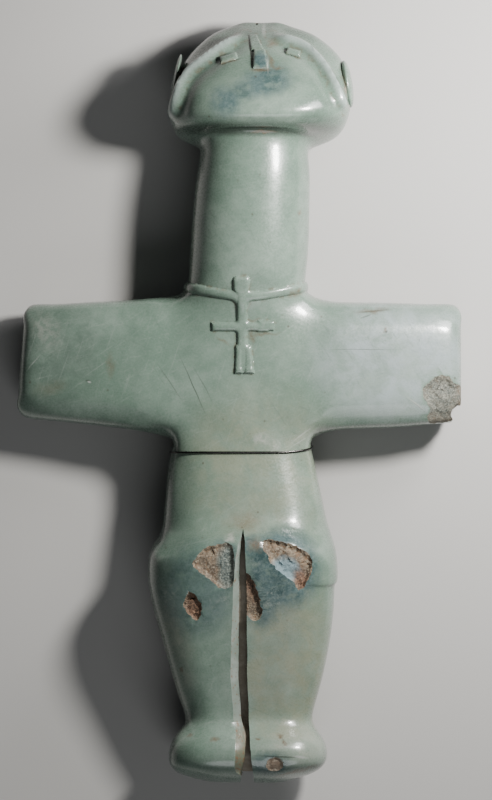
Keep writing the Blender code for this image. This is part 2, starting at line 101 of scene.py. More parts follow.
NECK_AND_HEAD = [Section(*row) for row in [
    (24.0, -10.5, 13.3, 1.0, 20.8, 2.4, 0.0, 0.8),
    (27.5, -10.1, 13.6, 1.5, 21.5, 2.2, 0.0, 0.0),
    (33.0, -9.8, 14.0, 1.7, 21.9, 2.1, 0.0, 0.0),
    (40.0, -9.3, 14.1, 1.8, 22.0, 2.1, 0.2, 0.0),
    (46.5, -8.5, 14.1, 2.0, 21.9, 2.1, 1.2, 0.0),
    (51.2, -8.2, 14.1, 2.2, 21.7, 2.1, 2.9, 0.0),
    (52.7, -10.6, 17.2, 1.0, 24.4, 2.2, 2.3, 0.0),
    (54.2, -13.0, 20.2, -0.2, 27.4, 2.4, 2.1, -0.4),
    (57.0, -13.9, 21.8, -0.3, 28.4, 2.5, 1.2, -0.3),
    (61.0, -14.2, 22.5, -0.3, 27.2, 2.5, 0.3, 0.0),
    (65.0, -13.4, 22.0, -0.2, 24.4, 2.4, 0.0, 0.0),
    (68.8, -11.2, 20.6, 0.5, 21.0, 2.2, 0.0, 0.0),
    (71.8, -8.4, 18.0, 1.7, 17.4, 2.1, 0.0, 0.0),
    (74.3, -5.2, 14.5, 3.6, 13.6, 2.0, 0.0, 0.0),
    (75.7, -1.8, 10.6, 5.6, 10.6, 2.0, 0.0, 0.0),
]]

# A section of the chest where the arms leave it: left and right are its front corners, middle_front and
# side_front its heights there, and side_back that of its back's corners. pit is how far the corner between
# arm and body lies beyond the front corners, and drop the same along the height.
Chest = namedtuple("Chest", "at left right middle_front side_front side_back pit drop")

BACK_DIP = -0.3  # the lowest line of the back

CHEST = [Chest(*row) for row in [
    (-5.3, -13.6, 14.6, 17.6, 15.9, 0.8, 0.2, -1.9),
    (-2.0, -13.8, 14.8, 17.7, 17.0, -0.3, 0.0, 0.0),
    (3.0, -13.6, 14.6, 17.9, 17.4, -0.3, 0.0, 0.0),
    (12.5, -13.2, 14.2, 18.4, 17.3, -0.3, 0.0, 0.0),
    (17.5, -12.6, 14.0, 19.0, 16.8, -0.3, 0.0, 0.0),
    (20.4, -11.9, 13.8, 19.9, 15.6, 0.6, 0.6, 1.1),
]]

# A section of an arm: out is its place along the arm, low and high its edges along the height.
Arm = namedtuple("Arm", "out low high back front square")

LEFT_ARM = [Arm(*row) for row in [
    (-18.0, -6.0, 21.1, -0.2, 17.4, 3.4),
    (-23.0, -5.3, 20.7, -0.3, 17.1, 3.2),
    (-31.0, -4.4, 20.3, -0.3, 16.5, 3.1),
    (-38.5, -3.6, 19.9, 0.0, 15.6, 3.0),
    (-43.3, -2.4, 19.4, 1.4, 14.1, 2.9),
]]
RIGHT_ARM = [Arm(*row) for row in [
    (18.5, -5.8, 20.4, -0.2, 17.4, 3.4),
    (24.0, -5.4, 20.2, -0.3, 17.1, 3.4),
    (32.0, -5.1, 20.1, -0.3, 16.5, 3.3),
    (39.5, -4.4, 19.9, 0.0, 15.6, 3.3),
    (43.9, -3.4, 19.2, 1.4, 14.1, 3.1),
]]
HAND_SLANT = 0.07  # the left hand's end leans out towards its lower corner
END_DOME = 0.7  # how far the middle of an end stands out from its last section


def superellipse(square):
    """The ring's points (across, deep) on a unit superellipse, from the front's right corner leftwards."""
    points = []
    for k in range(RING):
        turn = math.radians((k + 1.5) * 360 / RING)
        place = (math.cos(turn), math.sin(turn))
        points.append([math.copysign(abs(c) ** (2 / square), c) for c in place])
    return points


def middle_and_half(low, high):
    return (high + low) / 2, (high - low) / 2


def section_ring(s):
    middle, half = middle_and_half(s.left, s.right)
    centre, depth = middle_and_half(s.back, s.front)
    valley = LEG_VALLEY if s.at < HIP else 0.0
    ring = []
    for across, deep in superellipse(s.square):
        ahead = max(deep, 0.0)
        ring.append(Vector((
            middle + half * across,
            s.at + s.tilt * deep - s.arch * across ** 2 * ahead,
            centre + depth * deep - valley * ahead * max(0.0, 1 - 4 * across ** 2),
        )))
    return ring


def chest_ring(c):
    """The four side points are read only on the first and last rows, where the arms' edges meet the body."""
    middle, half = middle_and_half(c.left, c.right)
    ring = [None] * RING
    for step in range(6):
        across = 1 - 2 * step / 5
        front = c.side_front + (c.middle_front - c.side_front) * (1 - across ** 2)
        back = BACK_DIP + (c.side_back - BACK_DIP) * across ** 4
        ring[FRONT[step]] = Vector((middle + half * across, c.at, front))
        ring[BACK[5 - step]] = Vector((middle + half * across, c.at, back))
    for corner, beyond, sign in ((FRONT[5], LEFT, -1), (BACK[5], RIGHT, 1)):
        start, end = ring[corner], ring[(corner + 3) % RING]
        for step, k in enumerate(beyond, start=1):
            ring[k] = start.lerp(end, step / 3) + Vector((sign * c.pit, c.drop, 0))
    return ring


def arm_ring(a, slant):
    """The same order as arm_hole: up the front, over the top edge, down the back, along the lower edge."""
    middle, half = middle_and_half(a.low, a.high)
    centre, depth = middle_and_half(a.back, a.front)
    points = superellipse(a.square)
    order = [*reversed(FRONT), *reversed(RIGHT), *reversed(BACK), *reversed(LEFT)]
    ring = []
    for along, deep in (points[k] for k in order):
        ring.append(Vector((a.out + slant * half * along, middle + half * along, centre + depth * deep)))
    return ring


def arm_hole(rows, front, back, beyond):
    """The loop of vertices on the chest that an arm grows from."""
    return [
        *[row[front] for row in rows],
        *[rows[-1][k] for k in beyond],
        *[row[back] for row in reversed(rows)],
        *[rows[0][k] for k in reversed(beyond)],
    ]


def bridge(bm, lower, upper, skip=()):
    count = len(lower)
    for k in range(count):
        if k in skip:
            continue
        after = (k + 1) % count
        bm.faces.new((lower[k], lower[after], upper[after], upper[k]))


def close_end(bm, near, far, near_side, far_side, outward):
    """A grid of faces over an end. near and far are its long edges, and the sides hold two points each."""
    rows = [near]
    for step in (1, 2):
        inner = []
        for column in range(1, len(near) - 1):
            place = near[column].co.lerp(far[column].co, step / 3)
            inner.append(bm.verts.new(place + outward))
        rows.append([near_side[step - 1], *inner, far_side[step - 1]])
    rows.append(far)
    for first, second in zip(rows, rows[1:]):
        for k in range(len(first) - 1):
            bm.faces.new((first[k], first[k + 1], second[k + 1], second[k]))


def body_cage():
    """The figure's cage: a stack of sections from soles to crown, with the arms grown from its sides."""
    bm = bmesh.new()
    below = [[bm.verts.new(p) for p in section_ring(s)] for s in LEGS]
    chest = []
    for index, c in enumerate(CHEST):
        inside = () if index in (0, len(CHEST) - 1) else (*LEFT, *RIGHT)
        chest.append([None if k in inside else bm.verts.new(p) for k, p in enumerate(chest_ring(c))])
    above = [[bm.verts.new(p) for p in section_ring(s)] for s in NECK_AND_HEAD]
    stack = below + chest[:1]
    for first, second in zip(stack, stack[1:]):
        bridge(bm, first, second)
    sides = (5, 6, 7, 13, 14, 15)
    for first, second in zip(chest, chest[1:]):
        bridge(bm, first, second, skip=sides)
    stack = chest[-1:] + above
    for first, second in zip(stack, stack[1:]):
        bridge(bm, first, second)

    left = arm_hole(chest, FRONT[5], BACK[0], LEFT)
    right = arm_hole(chest, FRONT[0], BACK[5], tuple(reversed(RIGHT)))
    for hole, arm, slant, outward in ((left, LEFT_ARM, HAND_SLANT, -1), (right, RIGHT_ARM, 0.0, 1)):
        loops = [hole] + [[bm.verts.new(p) for p in arm_ring(a, slant)] for a in arm]
        for first, second in zip(loops, loops[1:]):
            bridge(bm, first, second)
        end = loops[-1]
        push = Vector((outward * END_DOME, 0, 0))
        close_end(bm, end[0:6], end[8:14][::-1], end[14:16][::-1], end[6:8], push)

    soles, crown = below[0], above[-1]
    for end, push in ((soles, Vector((0, -END_DOME, 0))), (crown, Vector((0, END_DOME, 0)))):
        close_end(
            bm,
            [end[k] for k in FRONT],
            [end[k] for k in reversed(BACK)],
            [end[k] for k in reversed(RIGHT)],
            [end[k] for k in LEFT],
            push,
        )
    bmesh.ops.recalc_face_normals(bm, faces=bm.faces)
    return bm


def link(obj):
    bpy.context.scene.collection.objects.link(obj)
    return obj


def mesh_object(name, bm, finish=None):
    if finish is not None:
        for face in bm.faces:
            face.material_index = finish
    mesh = bpy.data.meshes.new(name)
    bm.to_mesh(mesh)
    bm.free()
    return link(bpy.data.objects.new(name, mesh))


FIT_ROUNDS = 8
BASE_LEVEL = 2
REFERENCE_LEVEL = 5


def evaluated(obj):
    bpy.context.view_layer.update()
    return obj.evaluated_get(bpy.context.evaluated_depsgraph_get())


def evaluated_bmesh(obj):
    bpy.context.view_layer.update()
    bm = bmesh.new()
    bm.from_object(obj, bpy.context.evaluated_depsgraph_get())
    return bm


def smooth_forms():
    """The figure's smooth form twice, in units: a mesh to work on, and a fine one to measure from."""
    body = mesh_object("form", body_cage())
    subdivision = body.modifiers.new("Smooth form", "SUBSURF")
    subdivision.levels = subdivision.render_levels = 1
    wanted = [v.co.copy() for v in body.data.vertices]
    for _ in range(FIT_ROUNDS):
        shifts = [goal - got.co for goal, got in zip(wanted, evaluated(body).data.vertices)]
        for vertex, shift in zip(body.data.vertices, shifts):
            vertex.co += shift
        body.data.update()
    subdivision.levels = subdivision.render_levels = BASE_LEVEL
    base = evaluated_bmesh(body)
    subdivision.levels = subdivision.render_levels = REFERENCE_LEVEL
    fine = evaluated_bmesh(body)
    tree = BVHTree.FromBMesh(fine)
    fine.free()
    bpy.data.objects.remove(body)
    return base, tree


class Surface:
    """Finds places on the smooth form, in units."""

    FAR = 100.0

    def __init__(self, tree):
        self.tree = tree

    def hit(self, start, direction):
        place, normal, _, _ = self.tree.ray_cast(Vector(start), Vector(direction))
        return place, normal

    def front(self, x, y):
        return self.hit((x, y, self.FAR), (0, 0, -1))

    def around(self, axis, height_at, offset, count):
        """A loop round the body. axis is its (x, z), and height_at gives each point's place along Y
        from how far ahead and across it lies, both from -1 to 1."""
        loop = []
        for k in range(count):
            turn = 2 * math.pi * k / count
            out = Vector((math.cos(turn), 0, math.sin(turn)))
            centre = Vector((axis[0], height_at(out.z, out.x), axis[1]))
            place, normal = self.hit(centre + out * self.FAR, -out)
            loop.append(place + normal * offset)
        return loop


def clamp(t):
    return min(1.0, max(0.0, t))


def smoothstep(t):
    t = clamp(t)
    return t * t * (3 - 2 * t)


def smooth_path(points, steps):
    """A Catmull-Rom curve through points on a plane."""
    first, *_, last = points = [Vector(p) for p in points]
    ends = [2 * first - points[1], *points, 2 * last - points[-2]]
    path = []
    for a, b, c, d in zip(ends, ends[1:], ends[2:], ends[3:]):
        for t in (step / steps for step in range(steps)):
            bend = (2 * a - 5 * b + 4 * c - d) * t ** 2 + (3 * b - a - 3 * c + d) * t ** 3
            path.append(b + 0.5 * ((c - a) * t + bend))
    return [*path, last]


# The neck cord hangs a little lower in front. Its loop is worked out round this axis, an (x, z).
NECK_AXIS = (1.6, 11.0)
CORD_LEVEL = 23.3
CORD_DIP = 2.1
CORD_POINTS = 1400

# Where the carving is looked for: the necklace between two heights, its pendant on the front below the
# last one, and the face above its own height
NECKLACE_SPAN = (2.0, 29.0)
PENDANT_TOP = 27.0
PENDANT_BACK = 10.0
FACE_START = 54.0
FACE_BACK = 6.0
# above this height the hair's folds get their painted highlight
FOLD_HIGHLIGHT_START = 56.0
FAR_OFF = 9.0  # the distance given where there is nothing near

# The pendant is a small figure with its arms out. Its plates are (low edge, high edge), and an edge is
# its (y, left x, right x). Its slit is (left, right, low, high).
PENDANT_SLIT = (0.7, 0.86, 5.0, 10.2)
PENDANT_PLATES = [
    ((10.4, -0.5, 1.6), (23.0, -0.65, 1.5)),
    ((14.3, -5.6, 5.5), (16.1, -5.7, 5.5)),
    ((14.35, 3.8, 6.95), (16.5, 3.8, 7.1)),
    ((5.75, -1.05, 3.0), (11.4, -0.8, 2.4)),
]
PENDANT_FEET = ((5.75, -1.1, 3.05), (7.1, -1.05, 2.95))
PENDANT_FOOT_RAISE = 0.12
PENDANT_FILLET = 0.8  # of the corners between the plates
PENDANT_ROUND = 0.75  # width of the plates' rounded edges
PENDANT_HEAD = ((21.75, -1.2, 1.65), (25.3, -1.45, 2.25))
PENDANT_HEAD_ROUND = 1.0  # of its corners

# A tilted lozenge on the face: its middle, half sizes and turn
Lozenge = namedtuple("Lozenge", "x y half_width half_height turn")

EYES = [
    Lozenge(-2.2, 69.0, 1.75, 0.66, math.radians(16)),
    Lozenge(10.8, 70.2, 1.45, 0.62, math.radians(-15)),
]
EYE_ROUND = 0.5
# The nose's plates: low edge, high edge, and the heights at these edges
NOSE = [
    ((70.4, 2.3, 4.9), (73.8, 1.8, 3.4), (0.42, 0.2)),
    ((66.7, 2.7, 5.6), (70.5, 2.8, 5.2), (0.7, 0.66)),
]
NOSE_ROUND = 0.35

HAIR_EDGES = [
    [(1.5, 73.9), (-2.9, 71.7), (-6.9, 68.9), (-9.9, 66.5), (-11.6, 64.0), (-12.6, 61.2), (-13.3, 58.4),
     (-13.6, 55.8)],
    [(6.1, 73.7), (12.2, 71.9), (15.8, 68.8), (18.2, 65.2), (20.2, 60.8), (21.2, 58.4)],
]
HAIR_STEPS = 60  # between two of its points
HAIR_INNER = 1.3  # widths of the hair edge's slopes, towards the face and away from it
HAIR_OUTER = 1.2
HAIR_GROOVE = 0.45
HAIR_GROOVE_PLACE = 1.4  # its distance over the slope's width
HAIR_GROOVE_WIDTH = 1.1
HAIR_FADE = (0.12, 0.15)  # shares of the edge that it takes to rise and to sink
HAIR_END = 1.5  # how far it runs on past its ends
# An ear's middle, radii and lean, and those of the groove before it
EAR_TILT = math.radians(-14)
EARS = [
    ((-12.7, 65.2, 13.6), (0.65, 4.8, 4.6), math.radians(-12)),
    ((21.6, 63.9, 13.4), (1.1, 4.8, 4.6), math.radians(9)),
]
EAR_GROOVES = [
    ((-11.85, 65.2, 16.8), (0.42, 4.4, 3.2), math.radians(-14)),
    ((21.35, 62.7, 18.7), (0.22, 2.9, 0.8), math.radians(8)),
]
CROWN_NICK = ((3.5, 76.6, 9.4), (0.28, 0.9, 2.0), 0.0)


def box_distance(across, along):
    """Signed distance to a box, from how far outside its sides and ends a place lies."""
    return math.hypot(max(across, 0.0), max(along, 0.0)) + min(0.0, max(across, along))


def plate_distance(x, y, low, high, corner=0.0):
    """Signed distance to a plate with two level edges, below 0 inside. corner rounds its corners."""
    (low_y, low_left, low_right), (high_y, high_left, high_right) = low, high
    along = clamp((y - low_y) / (high_y - low_y))
    left = low_left + (high_left - low_left) * along
    right = low_right + (high_right - low_right) * along
    across = max(left - x, x - right) + corner
    beyond = max(low_y - y, y - high_y) + corner
    return box_distance(across, beyond) - corner


def lozenge_distance(x, y, z):
    cosine, sine = math.cos(z.turn), math.sin(z.turn)
    across = abs((x - z.x) * cosine + (y - z.y) * sine) - z.half_width
    along = abs((y - z.y) * cosine - (x - z.x) * sine) - z.half_height
    return box_distance(across, along)


def smooth_union(a, b, reach):
    """The nearer of two signed distances, with a fillet between the shapes."""
    share = max(0.0, reach - abs(a - b)) / reach
    return min(a, b) - share * share * reach / 4


def worn_edge(distance, width):
    """1 on a plate and 0 off it, with the rounded shoulder of a worn edge between."""
    rise = clamp(-distance / width)
    return math.sqrt(1 - (1 - rise) ** 2)


class Relief:
    """What is carved in relief: how far it stands out of the form at a place, and how near it is."""

    def __init__(self, surface):
        def height_at(ahead, _across):
            return CORD_LEVEL - CORD_DIP * max(0.0, ahead) ** 2

        self.cord = self.nearest(surface.around(NECK_AXIS, height_at, 0.0, CORD_POINTS))
        self.hair = []
        for points in HAIR_EDGES:
            path = [Vector((p.x, p.y, 0)) for p in smooth_path(points, HAIR_STEPS)]
            self.hair.append((self.nearest(path), path))

    @staticmethod
    def nearest(points):
        tree = KDTree(len(points))
        for index, place in enumerate(points):
            tree.insert(place, index)
        tree.balance()
        return tree

    def necklace(self, place):
        """The cord with its pendant, in one flowing relief."""
        x, y, z = place
        distance = self.cord.find(place)[2] - CORD_RADIUS
        cord = CORD_RAISE * worn_edge(distance, CORD_RADIUS)
        found = [(cord, distance, CORD_EDGE_LENGTH)]
        if z > PENDANT_BACK and y < PENDANT_TOP:
            head = plate_distance(x, y, *PENDANT_HEAD, PENDANT_HEAD_ROUND)
            body = FAR_OFF
            for low, high in PENDANT_PLATES:
                body = smooth_union(body, plate_distance(x, y, low, high), PENDANT_FILLET)
            hung = smooth_union(body, distance, 2 * PENDANT_FILLET)
            body = smooth_union(body, head, PENDANT_FILLET)
            left, right, bottom, top = PENDANT_SLIT
            body = max(body, -max(left - x, x - right, y - top, bottom - y))
            foot = PENDANT_FOOT_RAISE * worn_edge(plate_distance(x, y, *PENDANT_FEET), PENDANT_ROUND)
            plate = (PENDANT_RAISE + foot) * worn_edge(body, PENDANT_ROUND)
            found.append((plate, body, FINE_EDGE_LENGTH))
            found.append((CORD_RAISE * worn_edge(hung, CORD_RADIUS), hung, CORD_EDGE_LENGTH))
        return found

    def hair_edge(self, tree, path, place):
        """A fold with a gentle slope on the face's side, a steep one outside, and a groove along both."""
        nearest, index, distance = tree.find(Vector((place.x, place.y, 0)))
        before, after = path[max(0, index - 1)], path[min(len(path) - 1, index + 1)]
        along = (after - before).normalized()
        side = along.cross(Vector((place.x, place.y, 0)) - nearest).z
        inner = side * (1 if path[-1].x > 0 else -1) < 0
        share = index / len(path)
        fade = smoothstep(share / HAIR_FADE[0]) * smoothstep((1 - share) / HAIR_FADE[1])
        beyond = max(0.0, distance - abs(side)) if 0 < index < len(path) - 1 else distance
        fade *= 1 - smoothstep(beyond / HAIR_END)
        width = HAIR_INNER if inner else HAIR_OUTER
        groove = HAIR_GROOVE * math.exp(-((distance - HAIR_GROOVE_PLACE * width) / HAIR_GROOVE_WIDTH) ** 2)
        height = HAIR_RAISE * smoothstep(1 - distance / width) - groove
        return height * fade, distance - HAIR_RADIUS

    def fold_highlight(self, place):
        """1 along the middle of the hair's edges, where a pale band is painted as the folds' highlight."""
        if place.z < FACE_BACK or place.y < FOLD_HIGHLIGHT_START:
            return 0.0
        folds = [self.hair_edge(tree, path, place)[0] for tree, path in self.hair]
        return smoothstep(max(folds) / HAIR_RAISE)

    def features(self, place):
        """The features carved near a place, as (height there, signed distance, wanted edge length)."""
        x, y, z = place
        found = self.necklace(place) if NECKLACE_SPAN[0] < y < NECKLACE_SPAN[1] else []
        if z > FACE_BACK and y > FACE_START:
            for eye in EYES:
                distance = lozenge_distance(x, y, eye)
                found.append((EYE_RAISE * worn_edge(distance, EYE_ROUND), distance, FINE_EDGE_LENGTH))
            for low, high, (low_raise, high_raise) in NOSE:
                distance = plate_distance(x, y, low, high)
                along = clamp((y - low[0]) / (high[0] - low[0]))
                height = low_raise + (high_raise - low_raise) * along
                found.append((height * worn_edge(distance, NOSE_ROUND), distance, FINE_EDGE_LENGTH))
            for tree, path in self.hair:
                height, distance = self.hair_edge(tree, path, place)
                found.append((height, distance, HAIR_EDGE_LENGTH))
        return found


def height_of(features):
    """The highest relief here, or the deepest groove where there is none."""
    heights = [height for height, _, _ in features]
    if not heights:
        return 0.0
    return max(heights) if max(heights) > 0 else min(heights)


# Edge lengths of the mesh: on the relief, far from it, and how fast they grow with the distance
FINE_EDGE_LENGTH = 0.13
CORD_EDGE_LENGTH = 0.2
HAIR_EDGE_LENGTH = 0.45
COARSE_EDGE_LENGTH = 2.3
EDGE_GROWTH = 0.42
LONG_EDGE = 1.35  # an edge is split when it is this many times longer than wanted
REFINE_ROUNDS = 12
WELD_DISTANCE = 0.02


def wanted_edge(features):
    lengths = [finest + EDGE_GROWTH * abs(distance) for _, distance, finest in features]
    return min([COARSE_EDGE_LENGTH, *lengths])


def refine(bm, tree, relief):
    """Splits the mesh's edges until none is much longer than wanted, and keeps it on the smooth form."""
    bmesh.ops.triangulate(bm, faces=bm.faces)
    wanted = {}
    for _ in range(REFINE_ROUNDS):
        for v in bm.verts:
            if v not in wanted:
                wanted[v] = wanted_edge(relief.features(v.co))
        long = [e for e in bm.edges if e.calc_length() > LONG_EDGE * min(wanted[v] for v in e.verts)]
        if not long:
            break
        made = bmesh.ops.subdivide_edges(bm, edges=long, cuts=1)
        for part in made["geom_inner"]:
            if isinstance(part, bmesh.types.BMVert):
                part.co = tree.find_nearest(part.co)[0]
        bmesh.ops.triangulate(bm, faces=[f for f in bm.faces if len(f.verts) > 3])
        bmesh.ops.remove_doubles(bm, verts=bm.verts, dist=WELD_DISTANCE)


# Broad tints of the stone: x, y, half width, half height, how pale and how warm. Below 0 is dark or cool.
# The paleness is mostly painted light and shade: painted shade on the crown, the face's sides and the left
# arm, which face away from the lamp, and painted light on the right arm, which faces it. The warmth is the
# stone's tone.
TINT_REACH = 1.5  # how far a tint's slope reaches, in its half sizes
LIGHT_SHADE_AND_TINTS = [
    (4.0, 77.0, 16.0, 4.5, -0.6, 0.0),
    (-9.0, 69.5, 6.0, 5.0, -0.65, 0.0),
    (16.5, 58.0, 4.0, 3.0, -0.45, 0.0),
    (-14.5, -52.0, 4.5, 14.0, 0.5, 0.2),
    (12.0, -68.5, 7.0, 4.0, 0.5, 0.0),
    (32.0, 9.0, 15.0, 11.0, 0.45, -0.5),
    (-36.0, 10.0, 8.0, 11.0, -0.4, 0.0),
    (4.0, -13.0, 14.0, 14.0, 0.05, 0.35),
    (9.0, -52.0, 9.0, 17.0, 0.0, 0.5),
]
UNEVEN = 0.16  # depth of the hand-polished surface's waves
UNEVEN_SCALE = 0.085
EDGE_DIRT = (0.1, 0.5)  # how far outside the relief its line of dirt lies, and that line's half width


# Painted light and shade, with paler patches and the stone's warmth, at a place
def light_shade_and_tint(place):
    light_and_pale, warm = 0.0, 0.0
    for x, y, half_width, half_height, lighter, warmer in LIGHT_SHADE_AND_TINTS:
        reach = math.hypot((place.x - x) / half_width, (place.y - y) / half_height)
        share = smoothstep(TINT_REACH - reach)
        light_and_pale += share * lighter
        warm += share * warmer
    return light_and_pale, warm


def carve(bm, relief):
    """Raises the relief and makes the surface slightly uneven. Keeps what the colours need to know of it."""
    bm.normal_update()
    layers = ("relief_edge", "fold_highlight_band", "shade_and_pale_tint", "tint_warm")
    edge, fold_highlight, light_and_pale, warm = (bm.verts.layers.float.new(name) for name in layers)
    places = []
    for v in bm.verts:
        features = relief.features(v.co)
        height = height_of(features)
        distance = min((f[1] for f in features), default=FAR_OFF)
        wave = noise.noise(v.co * UNEVEN_SCALE + Vector((3.1, 7.7, 1.3)))
        places.append(v.co + v.normal * (height - UNEVEN * (0.5 + 0.5 * wave)))
        v[edge] = smoothstep(1 - abs(distance - EDGE_DIRT[0]) / EDGE_DIRT[1])
        v[fold_highlight] = relief.fold_highlight(v.co)
        # painted light and shade, kept on the mesh for the colours
        v[light_and_pale], v[warm] = light_shade_and_tint(v.co)
    for v, place in zip(bm.verts, places):
        v.co = place


# A section of the slit between the legs: left and right are its walls, bevel the width of the slope
# on its left edge, and depth how deep its floor lies below the front. It runs right through the soles.
Slit = namedtuple("Slit", "at left right bevel depth")

SLIT = [Slit(*row) for row in [
    (-25.4, 0.68, 0.8, 0.1, 1.8),
    (-28.6, 0.25, 1.1, 0.7, 2.4),
    (-31.7, 0.1, 1.25, 1.0, SLIT_DEPTH),
    (-39.7, -0.1, 1.5, 1.35, SLIT_DEPTH),
    (-54.0, -0.2, 1.55, 1.7, SLIT_DEPTH),
    (-62.6, 0.3, 1.9, 1.7, SLIT_DEPTH),
    (-66.3, 1.0, 2.05, 1.9, SLIT_DEPTH),
    (-68.4, 1.1, 2.05, 2.0, SLIT_DEPTH),
    (-70.6, 1.0, 2.3, 2.0, SLIT_DEPTH),
    (-73.8, 0.6, 2.65, 1.6, 5.0),
    (-75.2, 0.3, 2.85, 1.1, 40.0),
    (-78.0, -0.2, 3.2, 0.5, 40.0),
]]
SLIT_BEVEL_DEPTH = 1.5
CUTTER_MARGIN = 3.0  # how far a cutter stands out above the front
SLIT_STEP = 0.5  # spacing of the fine slit's sections
SLIT_WOBBLE = 0.1
WOBBLE_SCALE = 0.35
SLIT_FACES = (DIRT, DIRT, DIRT, CUT, DIRT)  # floor, right wall, above, sloped strip, left wall


def slit_section(at):
    """The slit's section at a place along the legs, smoothed between the table's."""
    for first, second in zip(SLIT, SLIT[1:]):
        if second.at <= at:
            break
    share = smoothstep((first.at - at) / (first.at - second.at))
    return Slit(at, *(a + (b - a) * share for a, b in zip(first[1:], second[1:])))


def leg_slit(surface):
    """A loft through the slit's sections. Its walls wander a little, as hand-cut ones do."""
    bm = bmesh.new()
    rings = []
    count = round((SLIT[0].at - SLIT[-1].at) / SLIT_STEP)
    for k in range(count + 1):
        s = slit_section(SLIT[0].at + (SLIT[-1].at - SLIT[0].at) * k / count)
        front = surface.front(s.left - s.bevel, max(s.at, SLIT[-3].at))[0].z
        slope = s.bevel / SLIT_BEVEL_DEPTH
        wander = [SLIT_WOBBLE * noise.noise(Vector((s.at * WOBBLE_SCALE, side, 0.5))) for side in (0, 5, 9)]
        left = s.left + wander[0]
        corners = [
            (left, front - s.depth),
            (s.right + wander[1], front - s.depth),
            (s.right + wander[1], front + CUTTER_MARGIN),
            (left - s.bevel - slope * CUTTER_MARGIN + 2 * wander[2], front + CUTTER_MARGIN),
            (left, front - SLIT_BEVEL_DEPTH),
        ]
        rings.append([bm.verts.new((x, s.at, z)) for x, z in corners])
    for first, second in zip(rings, rings[1:]):
        bridge(bm, first, second)
    bm.faces.ensure_lookup_table()
    for index, face in enumerate(bm.faces):
        face.material_index = SLIT_FACES[index % len(SLIT_FACES)]
    for end in (rings[0], rings[-1]):
        bm.faces.new(end).material_index = DIRT
    bmesh.ops.recalc_face_normals(bm, faces=bm.faces)
    return mesh_object("leg slit", bm)


# A chip in the front: its outline, its depth, how far in from the outline that is reached, and its roughness
Chip = namedtuple("Chip", "outline depth wall rough")

CHIPS = [
    Chip(
        [(-9.6, -32.1), (-8.5, -30.4), (-7.1, -29.0), (-4.9, -28.2), (-2.7, -27.8), (-1.3, -28.6),
         (-0.9, -30.9), (-0.8, -33.7), (-1.1, -36.3), (-2.5, -37.3), (-4.1, -37.2), (-5.7, -35.9),
         (-7.5, -34.3), (-9.1, -33.3)],
        0.75, 1.1, 0.6),
    Chip(
        [(-10.2, -37.5), (-8.9, -38.3), (-7.7, -39.7), (-7.3, -41.3), (-7.7, -42.9), (-8.5, -43.9),
         (-9.7, -43.1), (-10.8, -41.9), (-11.4, -40.3), (-11.0, -38.7)],
        0.6, 0.8, 0.7),
    Chip(
        [(4.5, -27.5), (6.1, -27.1), (8.1, -27.6), (10.6, -28.2), (12.8, -29.2), (14.4, -30.9), (14.8, -32.9),
         (14.0, -35.1), (13.0, -36.9), (11.8, -37.7), (11.0, -36.5), (9.7, -35.1), (7.9, -33.9), (6.3, -32.1),
         (5.1, -30.0), (4.5, -28.6)],
        1.0, 1.1, 0.7),
    Chip(
        [(0.6, -33.6), (2.0, -34.3), (2.8, -35.4), (3.5, -36.9), (4.3, -39.7), (4.7, -42.1), (4.1, -43.7),
         (2.7, -43.7), (1.6, -43.0), (0.6, -42.0), (0.4, -38.0)],
        0.8, 0.9, 0.8),
    Chip(
        [(5.1, -72.5), (5.6, -71.4), (6.7, -70.8), (8.1, -70.9), (8.9, -71.9), (8.9, -73.1), (7.9, -73.9),
         (6.5, -74.1), (5.5, -73.6)],
        0.25, 0.8, 0.35),
    Chip(
        [(38.9, 5.4), (40.1, 5.8), (41.7, 5.7), (42.7, 5.0), (43.7, 4.1), (47.0, 3.6), (47.0, -8.0),
         (37.6, -8.0), (37.2, -3.5), (37.1, -2.5), (37.7, -1.7), (37.3, -0.5), (36.7, 0.5), (36.3, 1.9),
         (36.7, 3.3), (37.7, 4.5)],
        0.8, 2.0, 0.8),
]
CHIP_CELL = 0.17
CHIP_STEPS = 8  # between two points of its outline
CHIP_LEAST = 0.35  # the least depth inside a chip
CHIP_SPREAD = 0.9  # how far a cutter reaches beyond its outline
RAGGED = 0.28  # how far an outline wanders
RAGGED_SCALE = 0.9
FACET_SIZE = 1.7
FACET_TILT = 0.3
GRAIN = 0.11
GRAIN_SCALE = 1.9
RIM_LEVEL = 11.0  # below this the front has turned into a side


def facets(place):
    """A field of tilted flat facets, as on a fracture."""
    _, cells = noise.voronoi(place / FACET_SIZE)
    cell = cells[0]
    tilt = noise.noise_vector(cell * 3.7)
    return (tilt.dot(place / FACET_SIZE - cell) + 0.8 * tilt.z) * FACET_TILT * FACET_SIZE


def front_level(surface, x, y, middle):
    """The front's height at a place or, where it has turned into a side, nearer the middle."""
    for share in (0.0, 0.15, 0.3, 0.45, 0.6, 0.8):
        place, _ = surface.front(x + (middle.x - x) * share, y + (middle.y - y) * share)
        if place and place.z > RIM_LEVEL:
            return place.z
    return RIM_LEVEL


def inside_outline(x, y, path):
    inside = False
    for a, b in zip(path, path[1:] + path[:1]):
        if (a.y > y) != (b.y > y) and x < a.x + (b.x - a.x) * (y - a.y) / (b.y - a.y):
            inside = not inside
    return inside


